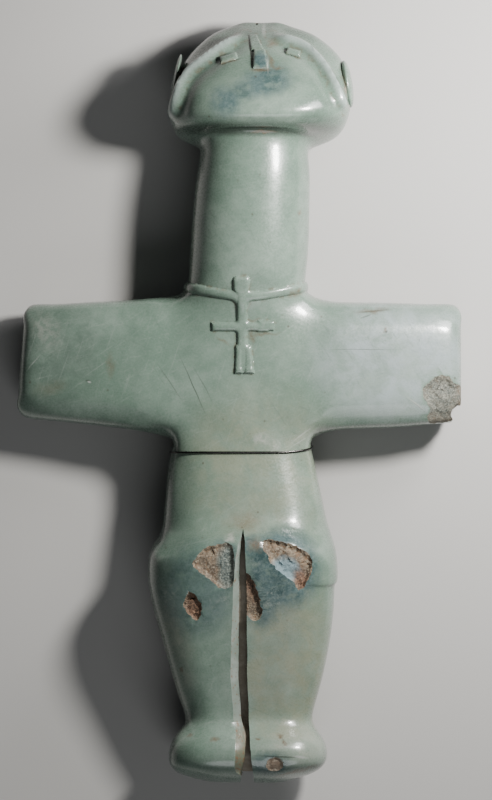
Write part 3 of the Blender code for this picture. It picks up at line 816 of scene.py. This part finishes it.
def chip_cutter(name, chip, surface):
    """A slab over a chip. Its underside is the broken surface, and rises out of the stone round the chip."""
    closed = [*chip.outline, chip.outline[0]]
    path = smooth_path(closed, CHIP_STEPS)[:-1]
    tree = Relief.nearest([Vector((p.x, p.y, 0)) for p in path])
    spread = Vector((CHIP_SPREAD, CHIP_SPREAD))
    low = Vector((min(p.x for p in path), min(p.y for p in path))) - spread
    high = Vector((max(p.x for p in path), max(p.y for p in path))) + spread
    middle = sum(path, Vector((0, 0))) / len(path)
    columns, rows = (math.ceil(size / CHIP_CELL) for size in high - low)
    bm = bmesh.new()
    bmesh.ops.create_grid(bm, x_segments=columns, y_segments=rows, size=0.5)
    under = list(bm.verts)
    made = bmesh.ops.extrude_face_region(bm, geom=list(bm.faces))
    over = [v for v in made["geom"] if isinstance(v, bmesh.types.BMVert)]
    for group, raised in ((under, False), (over, True)):
        for v in group:
            x = low.x + (high.x - low.x) * (v.co.x + 0.5)
            y = low.y + (high.y - low.y) * (v.co.y + 0.5)
            level = front_level(surface, x, y, middle)
            if raised:
                v.co = Vector((x, y, level + CUTTER_MARGIN))
                continue
            spot = Vector((x, y, 0))
            distance = tree.find(spot)[2] * (1 if inside_outline(x, y, path) else -1)
            distance += RAGGED * noise.fractal(spot * RAGGED_SCALE, 1.0, 2.0, 3)
            share = smoothstep(distance / chip.wall)
            fine = facets(spot) + GRAIN * noise.fractal(spot * GRAIN_SCALE, 0.8, 2.2, 3)
            if distance > 0:
                distance = share * max(chip.depth + chip.rough * fine, CHIP_LEAST)
            v.co = Vector((x, y, level - distance))
    if bm.calc_volume(signed=True) < 0:
        bmesh.ops.reverse_faces(bm, faces=bm.faces)
    return mesh_object(name, bm, BROKEN)


BALL_DETAIL = 5

# The hand's missing corner: middle, radii, roughness and how fast that changes
HAND_BREAK = (Vector((45.6, -3.4, 8.0)), (3.4, 4.2, 12.0), 0.8, 0.45)


def rough_ball(name, centre, radii, roughness, scale):
    bm = bmesh.new()
    bmesh.ops.create_icosphere(bm, subdivisions=BALL_DETAIL, radius=1)
    for v in bm.verts:
        place = Vector(a * b for a, b in zip(v.co, radii))
        shake = roughness * (noise.fractal(place * scale + centre, 1.0, 2.0, 4) + 0.3 * facets(place))
        v.co = place + v.co.normalized() * shake + centre
    return mesh_object(name, bm, BROKEN)


def lens(name, centre, radii, lean, finish):
    """A smooth ball with three radii, for an ear or a groove."""
    bm = bmesh.new()
    bmesh.ops.create_icosphere(bm, subdivisions=BALL_DETAIL, radius=1)
    for v in bm.verts:
        v.co = Vector(a * b for a, b in zip(v.co, radii))
    turn = Euler((EAR_TILT, 0, lean)).to_matrix().to_4x4()
    bm.transform(Matrix.Translation(centre) @ turn)
    return mesh_object(name, bm, finish)


def join(name, objects):
    """One object from several that don't touch."""
    bm = bmesh.new()
    for obj in objects:
        bm.from_mesh(obj.data)
        bpy.data.objects.remove(obj)
    return mesh_object(name, bm)


GROUND_SIZE = 200


def ground():
    """A block below the figure, which cuts its back flat."""
    bm = bmesh.new()
    bmesh.ops.create_cube(bm, size=GROUND_SIZE)
    bmesh.ops.translate(bm, vec=Vector((0, 0, -GROUND_SIZE / 2)), verts=bm.verts)
    return mesh_object("ground", bm)


def applied(obj, helpers, operation):
    """obj with the helpers joined to it or cut out of it, one by one."""
    for helper in helpers:
        modifier = obj.modifiers.new(helper.name, "BOOLEAN")
        modifier.operation = operation
        modifier.object = helper
        modifier.material_mode = "INDEX"
    mesh = bpy.data.meshes.new_from_object(evaluated(obj))
    obj.modifiers.clear()
    obj.data = mesh
    for helper in helpers:
        bpy.data.objects.remove(helper)
    return obj


SHARP_ANGLE = math.radians(38)


def stone_figure(materials):
    bm, tree = smooth_forms()
    surface = Surface(tree)
    relief = Relief(surface)
    refine(bm, tree, relief)
    carve(bm, relief)
    figure = mesh_object("figurine_stone", bm)
    for material in materials:
        figure.data.materials.append(material)
    ears = [lens("ear", *shape, POLISHED) for shape in EARS]
    grooves = [lens("groove", *shape, DIRT) for shape in (*EAR_GROOVES, CROWN_NICK)]
    breaks = [chip_cutter(f"chip {k}", c, surface) for k, c in enumerate(CHIPS)]
    applied(figure, [join("ears", ears)], "UNION")
    cutters = [
        leg_slit(surface),
        join("ear grooves and nick", grooves),
        join("knee chips", [breaks[k] for k in (0, 2, 4, 5)]),
        join("shin chips", [breaks[k] for k in (1, 3)]),
        rough_ball("hand break", *HAND_BREAK),
        ground(),
    ]
    applied(figure, cutters, "DIFFERENCE")
    figure.data.transform(Matrix.Scale(UNIT, 4))
    figure.data.shade_smooth()
    figure.data.set_sharp_from_angle(angle=SHARP_ANGLE)
    return figure, surface


# The wire runs level round the waist and rises towards the right side, in a loop round this axis.
WAIST_AXIS = (0.4, 9.0)
WIRE_LEVEL = -10.0
WIRE_RISE = 1.2
WIRE_TURN_UP = 0.7  # how far across the rise begins
WIRE_RADIUS = 0.2
WIRE_GAP = 0.03
WIRE_POINTS = 180


def waist_wire(surface, metal):
    def height_at(ahead, across):
        if ahead < 0:
            return WIRE_LEVEL + WIRE_RISE * (1 + across) / 2
        return WIRE_LEVEL + WIRE_RISE * (max(0.0, across - WIRE_TURN_UP) / (1 - WIRE_TURN_UP)) ** 2

    loop = surface.around(WAIST_AXIS, height_at, WIRE_RADIUS + WIRE_GAP, WIRE_POINTS)
    curve = bpy.data.curves.new("waist_wire", "CURVE")
    curve.dimensions = "3D"
    curve.bevel_depth = WIRE_RADIUS * UNIT
    curve.bevel_resolution = 3
    spline = curve.splines.new("POLY")
    spline.points.add(len(loop) - 1)
    for target, place in zip(spline.points, loop):
        target.co = (*(place * UNIT), 1)
    spline.use_cyclic_u = True
    spline.use_smooth = True
    guide = link(bpy.data.objects.new("guide", curve))
    mesh = bpy.data.meshes.new_from_object(evaluated(guide))
    bpy.data.objects.remove(guide)
    mesh.materials.clear()
    mesh.materials.append(metal)
    return link(bpy.data.objects.new("waist_wire", mesh))


STONE_SHADE = 0.56  # the stone is darker than its colours below look under the bright key light


def linear(red, green, blue):
    """A stone colour from its 0 to 255 screen values."""
    def channel(value):
        value /= 255
        return STONE_SHADE * (value / 12.92 if value <= 0.04045 else ((value + 0.055) / 1.055) ** 2.4)

    return (channel(red), channel(green), channel(blue), 1)


# The marks lie on the front, about this high, and fade out towards the back
MARK_LEVEL = 22.0
MARK_DEPTH = 15.0


class Shader:
    """A short way to write a material's nodes."""

    def __init__(self, name):
        self.material = bpy.data.materials.new(name)
        self.material.use_nodes = True
        self.tree = self.material.node_tree
        self.principled = self.tree.nodes["Principled BSDF"]
        self.colour = None

    def node(self, kind, inputs=None, **settings):
        made = self.tree.nodes.new(kind)
        for key, value in settings.items():
            setattr(made, key, value)
        for key, value in (inputs or {}).items():
            self.put(made.inputs[key], value)
        return made

    def put(self, target, value):
        if isinstance(value, bpy.types.NodeSocket):
            self.tree.links.new(value, target)
        else:
            target.default_value = value

    def math(self, operation, a, b=0.0, c=0.0):
        return self.node("ShaderNodeMath", {0: a, 1: b, 2: c}, operation=operation).outputs[0]

    def times(self, a, b):
        return self.math("MULTIPLY", a, b)

    def vector(self, operation, inputs):
        return self.node("ShaderNodeVectorMath", inputs, operation=operation).outputs[0]

    def attribute(self, name):
        return self.node("ShaderNodeAttribute", attribute_name=name).outputs["Fac"]

    def finished(self, roughness, bump=None, **others):
        """The material with all inputs set. bump is its height, distance and strength."""
        inputs = {"Base Color": self.colour, "Roughness": roughness, **others}
        if bump:
            settings = dict(zip(("Height", "Distance", "Strength"), bump))
            inputs["Normal"] = self.node("ShaderNodeBump", settings).outputs[0]
        for name, value in inputs.items():
            self.put(self.principled.inputs[name], value)
        return self.material

    def noise(self, vector, scale, detail=3.0, roughness=0.5, distortion=0.0):
        names = ("Vector", "Scale", "Detail", "Roughness", "Distortion")
        inputs = dict(zip(names, (vector, scale, detail, roughness, distortion)))
        return self.node("ShaderNodeTexNoise", inputs).outputs[0]

    def step(self, value, low, high, to_low=0.0, to_high=1.0):
        """value from low to high, mapped smoothly."""
        inputs = {"Value": value, "From Min": low, "From Max": high, "To Min": to_low, "To Max": to_high}
        return self.node("ShaderNodeMapRange", inputs, interpolation_type="SMOOTHSTEP").outputs[0]

    def mix(self, factor, a, b):
        made = self.node("ShaderNodeMix", data_type="RGBA")
        self.put(made.inputs[0], factor)
        self.put(made.inputs[6], a)
        self.put(made.inputs[7], b)
        return made.outputs[2]

    def between(self, factor, low, high):
        """A colour between two of the stone's."""
        return self.mix(factor, linear(*low), linear(*high))

    def paint(self, factor, colour):
        """Lays a colour over what is there, from a socket or from screen values."""
        self.colour = self.mix(factor, self.colour, linear(*colour) if isinstance(colour, tuple) else colour)

    def mapped(self, vector, turn, size, place=(0, 0, 0)):
        """The place in a mark's own axes. turn is in degrees."""
        inputs = {"Vector": vector, "Location": place, "Rotation": (0, 0, math.radians(turn)), "Scale": size}
        return self.node("ShaderNodeMapping", inputs, vector_type="TEXTURE").outputs[0]

    def units(self):
        """The place on the object, in units."""
        place = self.node("ShaderNodeTexCoord").outputs["Object"]
        return self.vector("SCALE", {0: place, "Scale": 1 / UNIT})

    def warped(self, place, scale, amount):
        """place, moved about by noise, so that what is drawn there has a ragged edge."""
        inputs = {"Vector": place, "Scale": scale, "Detail": 3.0}
        colour = self.node("ShaderNodeTexNoise", inputs).outputs["Color"]
        centred = self.vector("SUBTRACT", {0: colour, 1: (0.5, 0.5, 0.5)})
        return self.vector("ADD", {0: place, 1: self.vector("SCALE", {0: centred, "Scale": amount})})

    def spot(self, place, mark):
        """A mark's strength inside it on the front, and 0 outside it."""
        x, y, half_width, half_height, turn, soft, strength = mark
        local = self.mapped(place, turn, (half_width, half_height, MARK_DEPTH), (x, y, MARK_LEVEL))
        reach = self.node("ShaderNodeVectorMath", {0: local}, operation="LENGTH").outputs["Value"]
        slope = strength / (2 * soft)
        fall = self.math("MULTIPLY_ADD", reach, -slope, slope * (1 + soft))
        return self.math("MAXIMUM", self.math("MINIMUM", fall, strength), 0.0)

    def spots(self, place, marks):
        """The strongest of several marks. Each is folded in at once, to keep the material small."""
        total = 0.0
        for mark in marks:
            total = self.math("MAXIMUM", self.spot(place, mark), total)
        return total


# Marks in the stone, as x, y, half width, half height, turn in degrees, softness and strength
DARK_ZONES = [
    (-8.6, -37.6, 7.4, 8.8, -6, 0.28, 0.66),
    (-3.0, -32.0, 2.8, 4.4, 0, 0.3, 0.85),
    (8.7, -33.2, 7.2, 8.0, 0, 0.2, 1.0),
    (4.6, -39.5, 3.4, 5.2, 0, 0.3, 0.9),
    (2.6, -29.0, 1.9, 2.6, 0, 0.3, 0.9),
    (6.0, -72.4, 4.0, 2.6, 0, 0.3, 0.75),
    (5.4, 64.0, 4.8, 2.9, 12, 0.35, 0.9),
    (1.1, 62.3, 4.2, 2.0, 25, 0.4, 0.75),
    (-2.6, 59.9, 3.0, 2.9, 25, 0.4, 0.9),
    (4.1, 68.4, 1.5, 1.8, 0, 0.35, 1.0),
]
BROWN_SPOTS = [
    (5.1, 54.2, 2.0, 0.35, 0, 0.6, 0.8),
    (12.0, 38.1, 0.4, 0.5, 0, 0.6, 0.8),
    (11.0, 21.7, 1.2, 0.6, 10, 0.7, 0.7),
    (11.6, 22.6, 0.5, 0.5, 0, 0.5, 0.8),
    (1.1, -24.1, 2.8, 1.6, 0, 0.8, 0.55),
    (2.5, 13.0, 0.5, 1.3, 0, 0.6, 0.6),
    (4.6, 13.7, 2.6, 0.3, 8, 0.6, 0.6),
    (-3.3, 12.2, 1.2, 0.3, -30, 0.6, 0.5),
    (-4.9, -67.4, 0.6, 0.35, 0, 0.6, 0.8),
    (-10.0, -66.8, 0.5, 0.3, 0, 0.5, 0.7),
    (3.7, -67.3, 0.7, 0.3, 0, 0.5, 0.8),
    (8.1, -66.9, 0.4, 0.6, 20, 0.6, 0.85),
    (8.8, -68.1, 0.4, 0.5, 30, 0.6, 0.8),
    (11.4, -73.9, 3.4, 0.4, 16, 0.5, 0.8),
    (-26.0, 7.4, 0.7, 1.9, 0, 0.8, 0.5),
    (-38.0, 2.8, 2.6, 1.2, 10, 0.8, 0.4),
    (26.8, 18.4, 2.8, 0.5, 4, 0.6, 0.7),
    (29.2, 14.4, 0.4, 0.4, 0, 0.6, 0.8),
    (-11.7, -53.6, 0.35, 0.35, 0, 0.6, 0.8),
    (6.6, 71.9, 1.0, 0.8, 10, 0.6, 0.75),
    (6.3, 68.2, 0.35, 1.7, 22, 0.6, 0.7),
    (7.6, 66.6, 1.0, 0.3, 0, 0.6, 0.7),
    (4.1, 66.3, 1.6, 0.3, 0, 0.6, 0.8),
    (3.4, -28.4, 1.3, 1.2, 0, 0.6, 0.75),
    (20.9, 64.0, 0.35, 2.6, 10, 0.6, 0.7),
]
# Painted shade: a dark band in the crease under the chin, standing in for the shade under its overhang
UNDER_CHIN_SHADE = [(3.4, 54.6, 15.5, 1.25, 0, 0.35, 0.7)]
# Pale crust over the dark zones at the knees
CRUST = [
    (6.6, -39.3, 2.2, 2.4, 0, 0.5, 0.65),
    (3.6, -32.6, 1.2, 1.5, 0, 0.6, 0.5),
    (-14.0, -38.5, 1.6, 2.4, 0, 0.6, 0.4),
    (-3.8, -39.8, 2.2, 1.4, 30, 0.6, 0.45),
    (10.4, -71.6, 2.2, 1.0, -10, 0.5, 0.5),
]
PALE_SPOTS_AND_GLINT = [
    # a painted highlight on the knee crest beside the slit's top; the rest are pale patches
    (-1.7, -26.9, 0.9, 0.8, 20, 0.5, 0.9),
    (4.5, -7.5, 1.4, 1.1, 0, 0.7, 0.8),
    (7.1, -8.5, 1.0, 0.8, 0, 0.7, 0.7),
    (-39.0, 14.5, 2.2, 3.2, 30, 0.8, 0.5),
    (12.1, -7.1, 2.4, 0.8, 35, 0.8, 0.35),
]
# Thin dark lines, with a painted shadow down the nose's left edge among them, and thin pale scratches, with
# painted glints among them
LINES_AND_NOSE_SHADOW = [
    (-9.2, 3.1, 5.3, 0.09, -66, 0.5, 0.8),
    (-13.8, 3.8, 4.0, 0.08, -56, 0.5, 0.6),
    (-7.1, 3.3, 3.2, 0.08, -62, 0.5, 0.55),
    (24.5, 10.6, 6.3, 0.07, 0, 0.5, 0.6),
    (35.6, -0.6, 1.9, 0.08, -39, 0.5, 0.8),
    # painted shadow down the nose's left edge
    (2.2, 70.4, 0.16, 3.7, 5, 0.5, 0.9),
    (-2.1, 68.15, 2.1, 0.16, 16, 0.6, 0.8),
    (10.5, 69.4, 1.7, 0.12, -15, 0.6, 0.7),
    (4.2, 66.4, 1.6, 0.14, 0, 0.6, 0.8),
    (26.8, 18.3, 2.6, 0.16, 5, 0.6, 0.7),
    (25.4, 17.3, 1.0, 0.13, 20, 0.6, 0.6),
    (29.4, 14.2, 0.25, 0.25, 0, 0.5, 0.9),
    (8.2, -70.8, 3.9, 0.14, -2, 0.5, 0.75),
    (-30.4, 4.4, 0.5, 0.14, 0, 0.5, 0.8),
]
SCRATCHES_AND_GLINTS = [
    (35.3, -0.2, 1.9, 0.14, -39, 0.5, 0.8),
    (12.6, -6.4, 2.3, 0.12, 37, 0.5, 0.6),
    (12.0, -7.9, 1.8, 0.1, 30, 0.5, 0.5),
    (4.9, 74.9, 0.35, 1.3, 0, 0.6, 0.7),
    (5.7, 67.6, 0.14, 1.4, 0, 0.6, 0.6),
    # painted highlight on the ledge of the right foot
    (12.2, -70.9, 1.2, 0.22, -8, 0.5, 0.9),
    # painted glint on a small pit in the left arm
    (-30.1, 4.1, 0.35, 0.17, -20, 0.5, 0.9),
    (-41.3, 8.0, 1.9, 0.09, 50, 0.5, 0.6),
]
LINE_WANDER = 0.35
# Faint strokes left by polishing, as turn in degrees and colour
STROKE_SIZE = (7.0, 0.24, 3.0)
STROKES = [
    (34, (176, 190, 178)),
    (-58, (98, 116, 104)),
    (12, (170, 184, 172)),
    (-24, (104, 122, 108)),
    (71, (172, 184, 174)),
]


def polished_stone():
    """Pale grey-green stone, cloudy, with darker blue-green zones, brown stains and fine scratches, and
    painted light, shade and highlights.
    """
    s = Shader("polished picrolite")
    units = s.units()
    ragged = s.warped(units, 0.45, 2.2)
    cloud = s.step(s.noise(units, 0.05, 4, 0.55, 0.6), 0.35, 0.68)
    mottle = s.step(s.noise(units, 0.35, 5, 0.6), 0.35, 0.7)
    fine = s.noise(units, 2.2, 4, 0.65)
    s.colour = s.between(cloud, (122, 147, 130), (150, 171, 156))
    s.paint(s.times(mottle, 0.45), (106, 132, 116))
    s.paint(s.step(fine, 0.52, 0.8, 0.0, 0.35), (170, 178, 170))

    uneven = s.step(s.noise(units, 0.22, 6, 0.68, 0.4), 0.36, 0.64, 0.45, 1.3)
    # Painted light and shade: the paleness kept on the mesh lightens the lit right arm and darkens the crown,
    # face sides and left arm
    light_and_pale = s.times(s.attribute("shade_and_pale_tint"), uneven)
    warm = s.times(s.attribute("tint_warm"), uneven)
    s.paint(light_and_pale, (190, 198, 186))
    s.paint(s.times(light_and_pale, -1.0), (84, 102, 91))
    s.paint(warm, (166, 165, 136))
    s.paint(s.times(warm, -1.0), (176, 190, 198))
    for turn, shade in STROKES:
        stroke = s.noise(s.mapped(units, turn, STROKE_SIZE), 1.0, 2, 0.6, 0.5)
        s.paint(s.step(stroke, 0.6, 0.74, 0.0, 0.34), shade)

    zone = s.spots(ragged, DARK_ZONES)
    zone = s.times(zone, s.step(s.noise(units, 0.5, 5, 0.65), 0.34, 0.52, 0.55, 1.0))
    deep = s.step(s.noise(units, 0.22, 4, 0.6), 0.35, 0.65)
    s.paint(zone, s.between(deep, (62, 88, 88), (92, 116, 116)))
    scaly = s.step(s.noise(units, 1.5, 5, 0.75), 0.46, 0.62, 0.0, 0.45)
    s.paint(s.times(scaly, zone), (132, 152, 148))
    crust = s.step(s.noise(s.warped(units, 0.9, 2.0), 1.2, 6, 0.8), 0.5, 0.6)
    crust = s.times(crust, s.spots(ragged, CRUST))
    s.paint(crust, (172, 182, 172))

    thin = s.warped(units, 0.25, LINE_WANDER)
    # dark lines, and the painted shadow beside the nose
    s.paint(s.spots(thin, LINES_AND_NOSE_SHADOW), (70, 78, 68))
    # pale scratches, and painted glints on the foot's ledge and the arm's pit
    s.paint(s.spots(thin, SCRATCHES_AND_GLINTS), (200, 206, 198))
    # Painted highlight: a pale band along the hair's folds
    s.paint(s.times(s.attribute("fold_highlight_band"), 0.6), (206, 220, 216))
    blotch = s.step(s.noise(units, 0.9, 5, 0.7), 0.42, 0.58, 0.2, 1.0)
    # pale patches, and a painted highlight on the knee crest
    s.paint(s.times(s.spots(ragged, PALE_SPOTS_AND_GLINT), blotch), (192, 194, 184))

    # Painted shade under the chin
    chin_shade = s.spots(thin, UNDER_CHIN_SHADE)
    s.paint(chin_shade, (58, 66, 58))
    brown = s.spots(ragged, BROWN_SPOTS)
    patchy = s.step(s.noise(units, 0.7, 3, 0.5), 0.45, 0.62)
    brown = s.math("MAXIMUM", brown, s.times(s.times(s.attribute("relief_edge"), patchy), 0.55))
    grit = s.step(s.noise(units, 3.5, 3, 0.6), 0.35, 0.6, 0.5, 1.0)
    s.paint(s.times(brown, grit), (120, 98, 74))

    cells = s.node("ShaderNodeTexVoronoi", {"Vector": units, "Scale": 0.33, "Randomness": 1.0})
    speck = s.step(cells.outputs["Distance"], 0.1, 0.05, 0.0, 0.6)
    s.paint(s.times(speck, patchy), (88, 80, 64))

    gloss = {"IOR": 1.55, "Coat Weight": 0.5, "Coat Roughness": 0.1, "Coat IOR": 1.5}
    roughness = s.step(fine, 0.3, 0.75, 0.23, 0.36)
    height = s.math("ADD", s.times(fine, 0.6), s.times(s.noise(units, 0.5, 2), 1.2))
    return s.finished(roughness, (height, 0.00006, 0.5), **gloss)


def broken_stone():
    """The rough, tan to brown inside of a break, with pale grains, dark pits and greener stone."""
    s = Shader("broken stone")
    units = s.units()
    ragged = s.warped(units, 0.5, 1.6)
    tone = s.step(s.noise(units, 0.55, 5, 0.65), 0.35, 0.68)
    grain = s.noise(units, 2.8, 5, 0.7)
    s.colour = s.between(tone, (98, 84, 70), (158, 140, 116))
    rust = s.step(s.noise(s.warped(units, 0.8, 3.0), 1.0, 4, 0.7), 0.5, 0.62, 0.0, 0.7)
    s.paint(rust, (148, 112, 76))
    s.paint(s.step(grain, 0.48, 0.66, 0.0, 0.75), (200, 190, 168))
    pits = s.step(s.noise(units, 2.3, 4, 0.7), 0.42, 0.32, 0.0, 0.8)
    s.paint(pits, (48, 44, 38))
    green = s.spots(ragged, [(-2.4, -33.0, 1.9, 4.8, 0, 0.3, 0.9), (40.5, 0.5, 6.0, 7.0, 0, 0.3, 0.6)])
    scale = s.step(grain, 0.4, 0.62)
    s.paint(green, s.between(scale, (84, 104, 102), (162, 172, 162)))
    bruise = s.spot(ragged, (7.1, -72.5, 2.2, 2.0, 0, 0.3, 0.8))
    s.paint(bruise, s.between(tone, (168, 146, 124), (190, 178, 160)))
    facet = s.spot(ragged, (9.4, -33.4, 2.9, 2.3, -25, 0.2, 1.0))
    s.paint(facet, s.between(tone, (128, 154, 160), (166, 188, 194)))
    red = s.spots(ragged, [
        (-8.9, -40.8, 1.7, 3.0, 0, 0.4, 0.75),
        (12.3, -35.4, 1.5, 2.4, 20, 0.4, 0.8),
        (2.6, -36.6, 1.6, 3.2, 10, 0.4, 0.6),
    ])
    s.paint(red, s.between(s.step(grain, 0.38, 0.62), (66, 46, 36), (160, 116, 88)))
    return s.finished(s.step(grain, 0.3, 0.7, 0.6, 0.9), (grain, 0.0003, 0.7))


def cut_stone():
    """The pale strip along the slit, with less polish, brown stains and the cut's fine lines."""
    s = Shader("cut stone")
    units = s.units()
    cloud = s.step(s.noise(units, 0.3, 4, 0.6), 0.35, 0.7)
    s.colour = s.between(cloud, (150, 164, 152), (178, 188, 180))
    foot = s.spot(s.warped(units, 0.5, 1.5), (0.0, -69.5, 3.0, 5.5, 0, 0.4, 1.0))
    s.paint(s.times(foot, 0.9), (118, 122, 98))
    stain = s.step(s.noise(units, 1.5, 4, 0.65), s.step(foot, 0.0, 1.0, 0.58, 0.5), 0.66, 0.0, 0.85)
    s.paint(stain, (140, 98, 62))
    roughness = s.step(s.noise(units, 1.5, 3, 0.6), 0.3, 0.7, 0.35, 0.5)
    return s.finished(roughness, (s.noise(units, 1.8, 3, 0.6), 0.0001, 0.5))


def slit_dirt():
    """Grey-brown dirt that fills the slit's floor and dulls its walls."""
    s = Shader("slit dirt")
    units = s.units()
    tone = s.step(s.noise(units, 0.5, 4, 0.6), 0.35, 0.7)
    s.colour = s.between(tone, (158, 148, 130), (190, 182, 166))
    roughness = s.step(tone, 0.0, 1.0, 0.75, 0.95)
    return s.finished(roughness, (s.noise(units, 2.4, 4, 0.7), 0.0002, 0.6))


def wire_metal():
    s = Shader("dark wire")
    grain = s.noise(s.units(), 3.0, 3, 0.6)
    s.colour = s.mix(grain, (0.03, 0.03, 0.03, 1), (0.09, 0.085, 0.08, 1))
    return s.finished(s.step(grain, 0.3, 0.7, 0.22, 0.38), Metallic=1.0)


CAMERA_PLACE = (0.0013, 0.0005)
CAMERA_DISTANCE = 2.0
FOCUS_LEVEL = 0.01  # the outline's widest places lie about this high
FRAME_HEIGHT = 0.1608  # what the picture's height covers at that level
SENSOR_WIDTH = 36


def camera():
    data = bpy.data.cameras.new("camera")
    data.sensor_width = SENSOR_WIDTH
    data.lens = data.sensor_width * CAMERA_DISTANCE / FRAME_HEIGHT
    data.clip_start, data.clip_end = 0.01, 10
    made = link(bpy.data.objects.new("camera", data))
    made.location = (*CAMERA_PLACE, FOCUS_LEVEL + CAMERA_DISTANCE)
    bpy.context.scene.camera = made


# Each light's name, place, size, power and colour. They point at the middle of the figure's back.
LIGHTS = [
    ("key", (0.11, 0.08, 0.145), 0.038, 0.88, (1.0, 0.98, 0.95)),
    ("near hand", (0.103, 0.096, 0.082), 0.06, 0.17, (1.0, 0.98, 1.0)),
    ("low", (0.1, -0.6, 0.5), 0.5, 1.5, (0.96, 0.98, 1.0)),
]
SURROUNDINGS = ((0.9, 0.93, 1.0, 1), 0.05)  # colour and strength
FLOOR_REACH = 12.0
FLOOR_LEVEL = -0.00005


def area_light(name, place, size, power, colour):
    data = bpy.data.lights.new(name, "AREA")
    data.shape = "DISK"
    data.size = size
    data.energy = power
    data.color = colour
    made = link(bpy.data.objects.new(name, data))
    made.location = place
    made.rotation_mode = "QUATERNION"
    made.rotation_quaternion = Vector(place).to_track_quat("Z", "Y")


def studio():
    for light in LIGHTS:
        area_light(*light)
    world = bpy.data.worlds.new("soft surroundings")
    world.use_nodes = True
    background = world.node_tree.nodes["Background"]
    background.inputs["Color"].default_value, background.inputs["Strength"].default_value = SURROUNDINGS
    bpy.context.scene.world = world

    bm = bmesh.new()
    bmesh.ops.create_grid(bm, x_segments=1, y_segments=1, size=FLOOR_REACH)
    floor = mesh_object("floor", bm)
    floor.location.z = FLOOR_LEVEL
    s = Shader("floor")
    s.colour = (0.42, 0.415, 0.4, 1)
    floor.data.materials.append(s.finished(roughness=0.9))


figure, surface = stone_figure([polished_stone(), broken_stone(), cut_stone(), slit_dirt()])
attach(figure, "root")
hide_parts("figurine")

wire = waist_wire(surface, wire_metal())
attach(wire, "root")
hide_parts("display_wire")

camera()
studio()
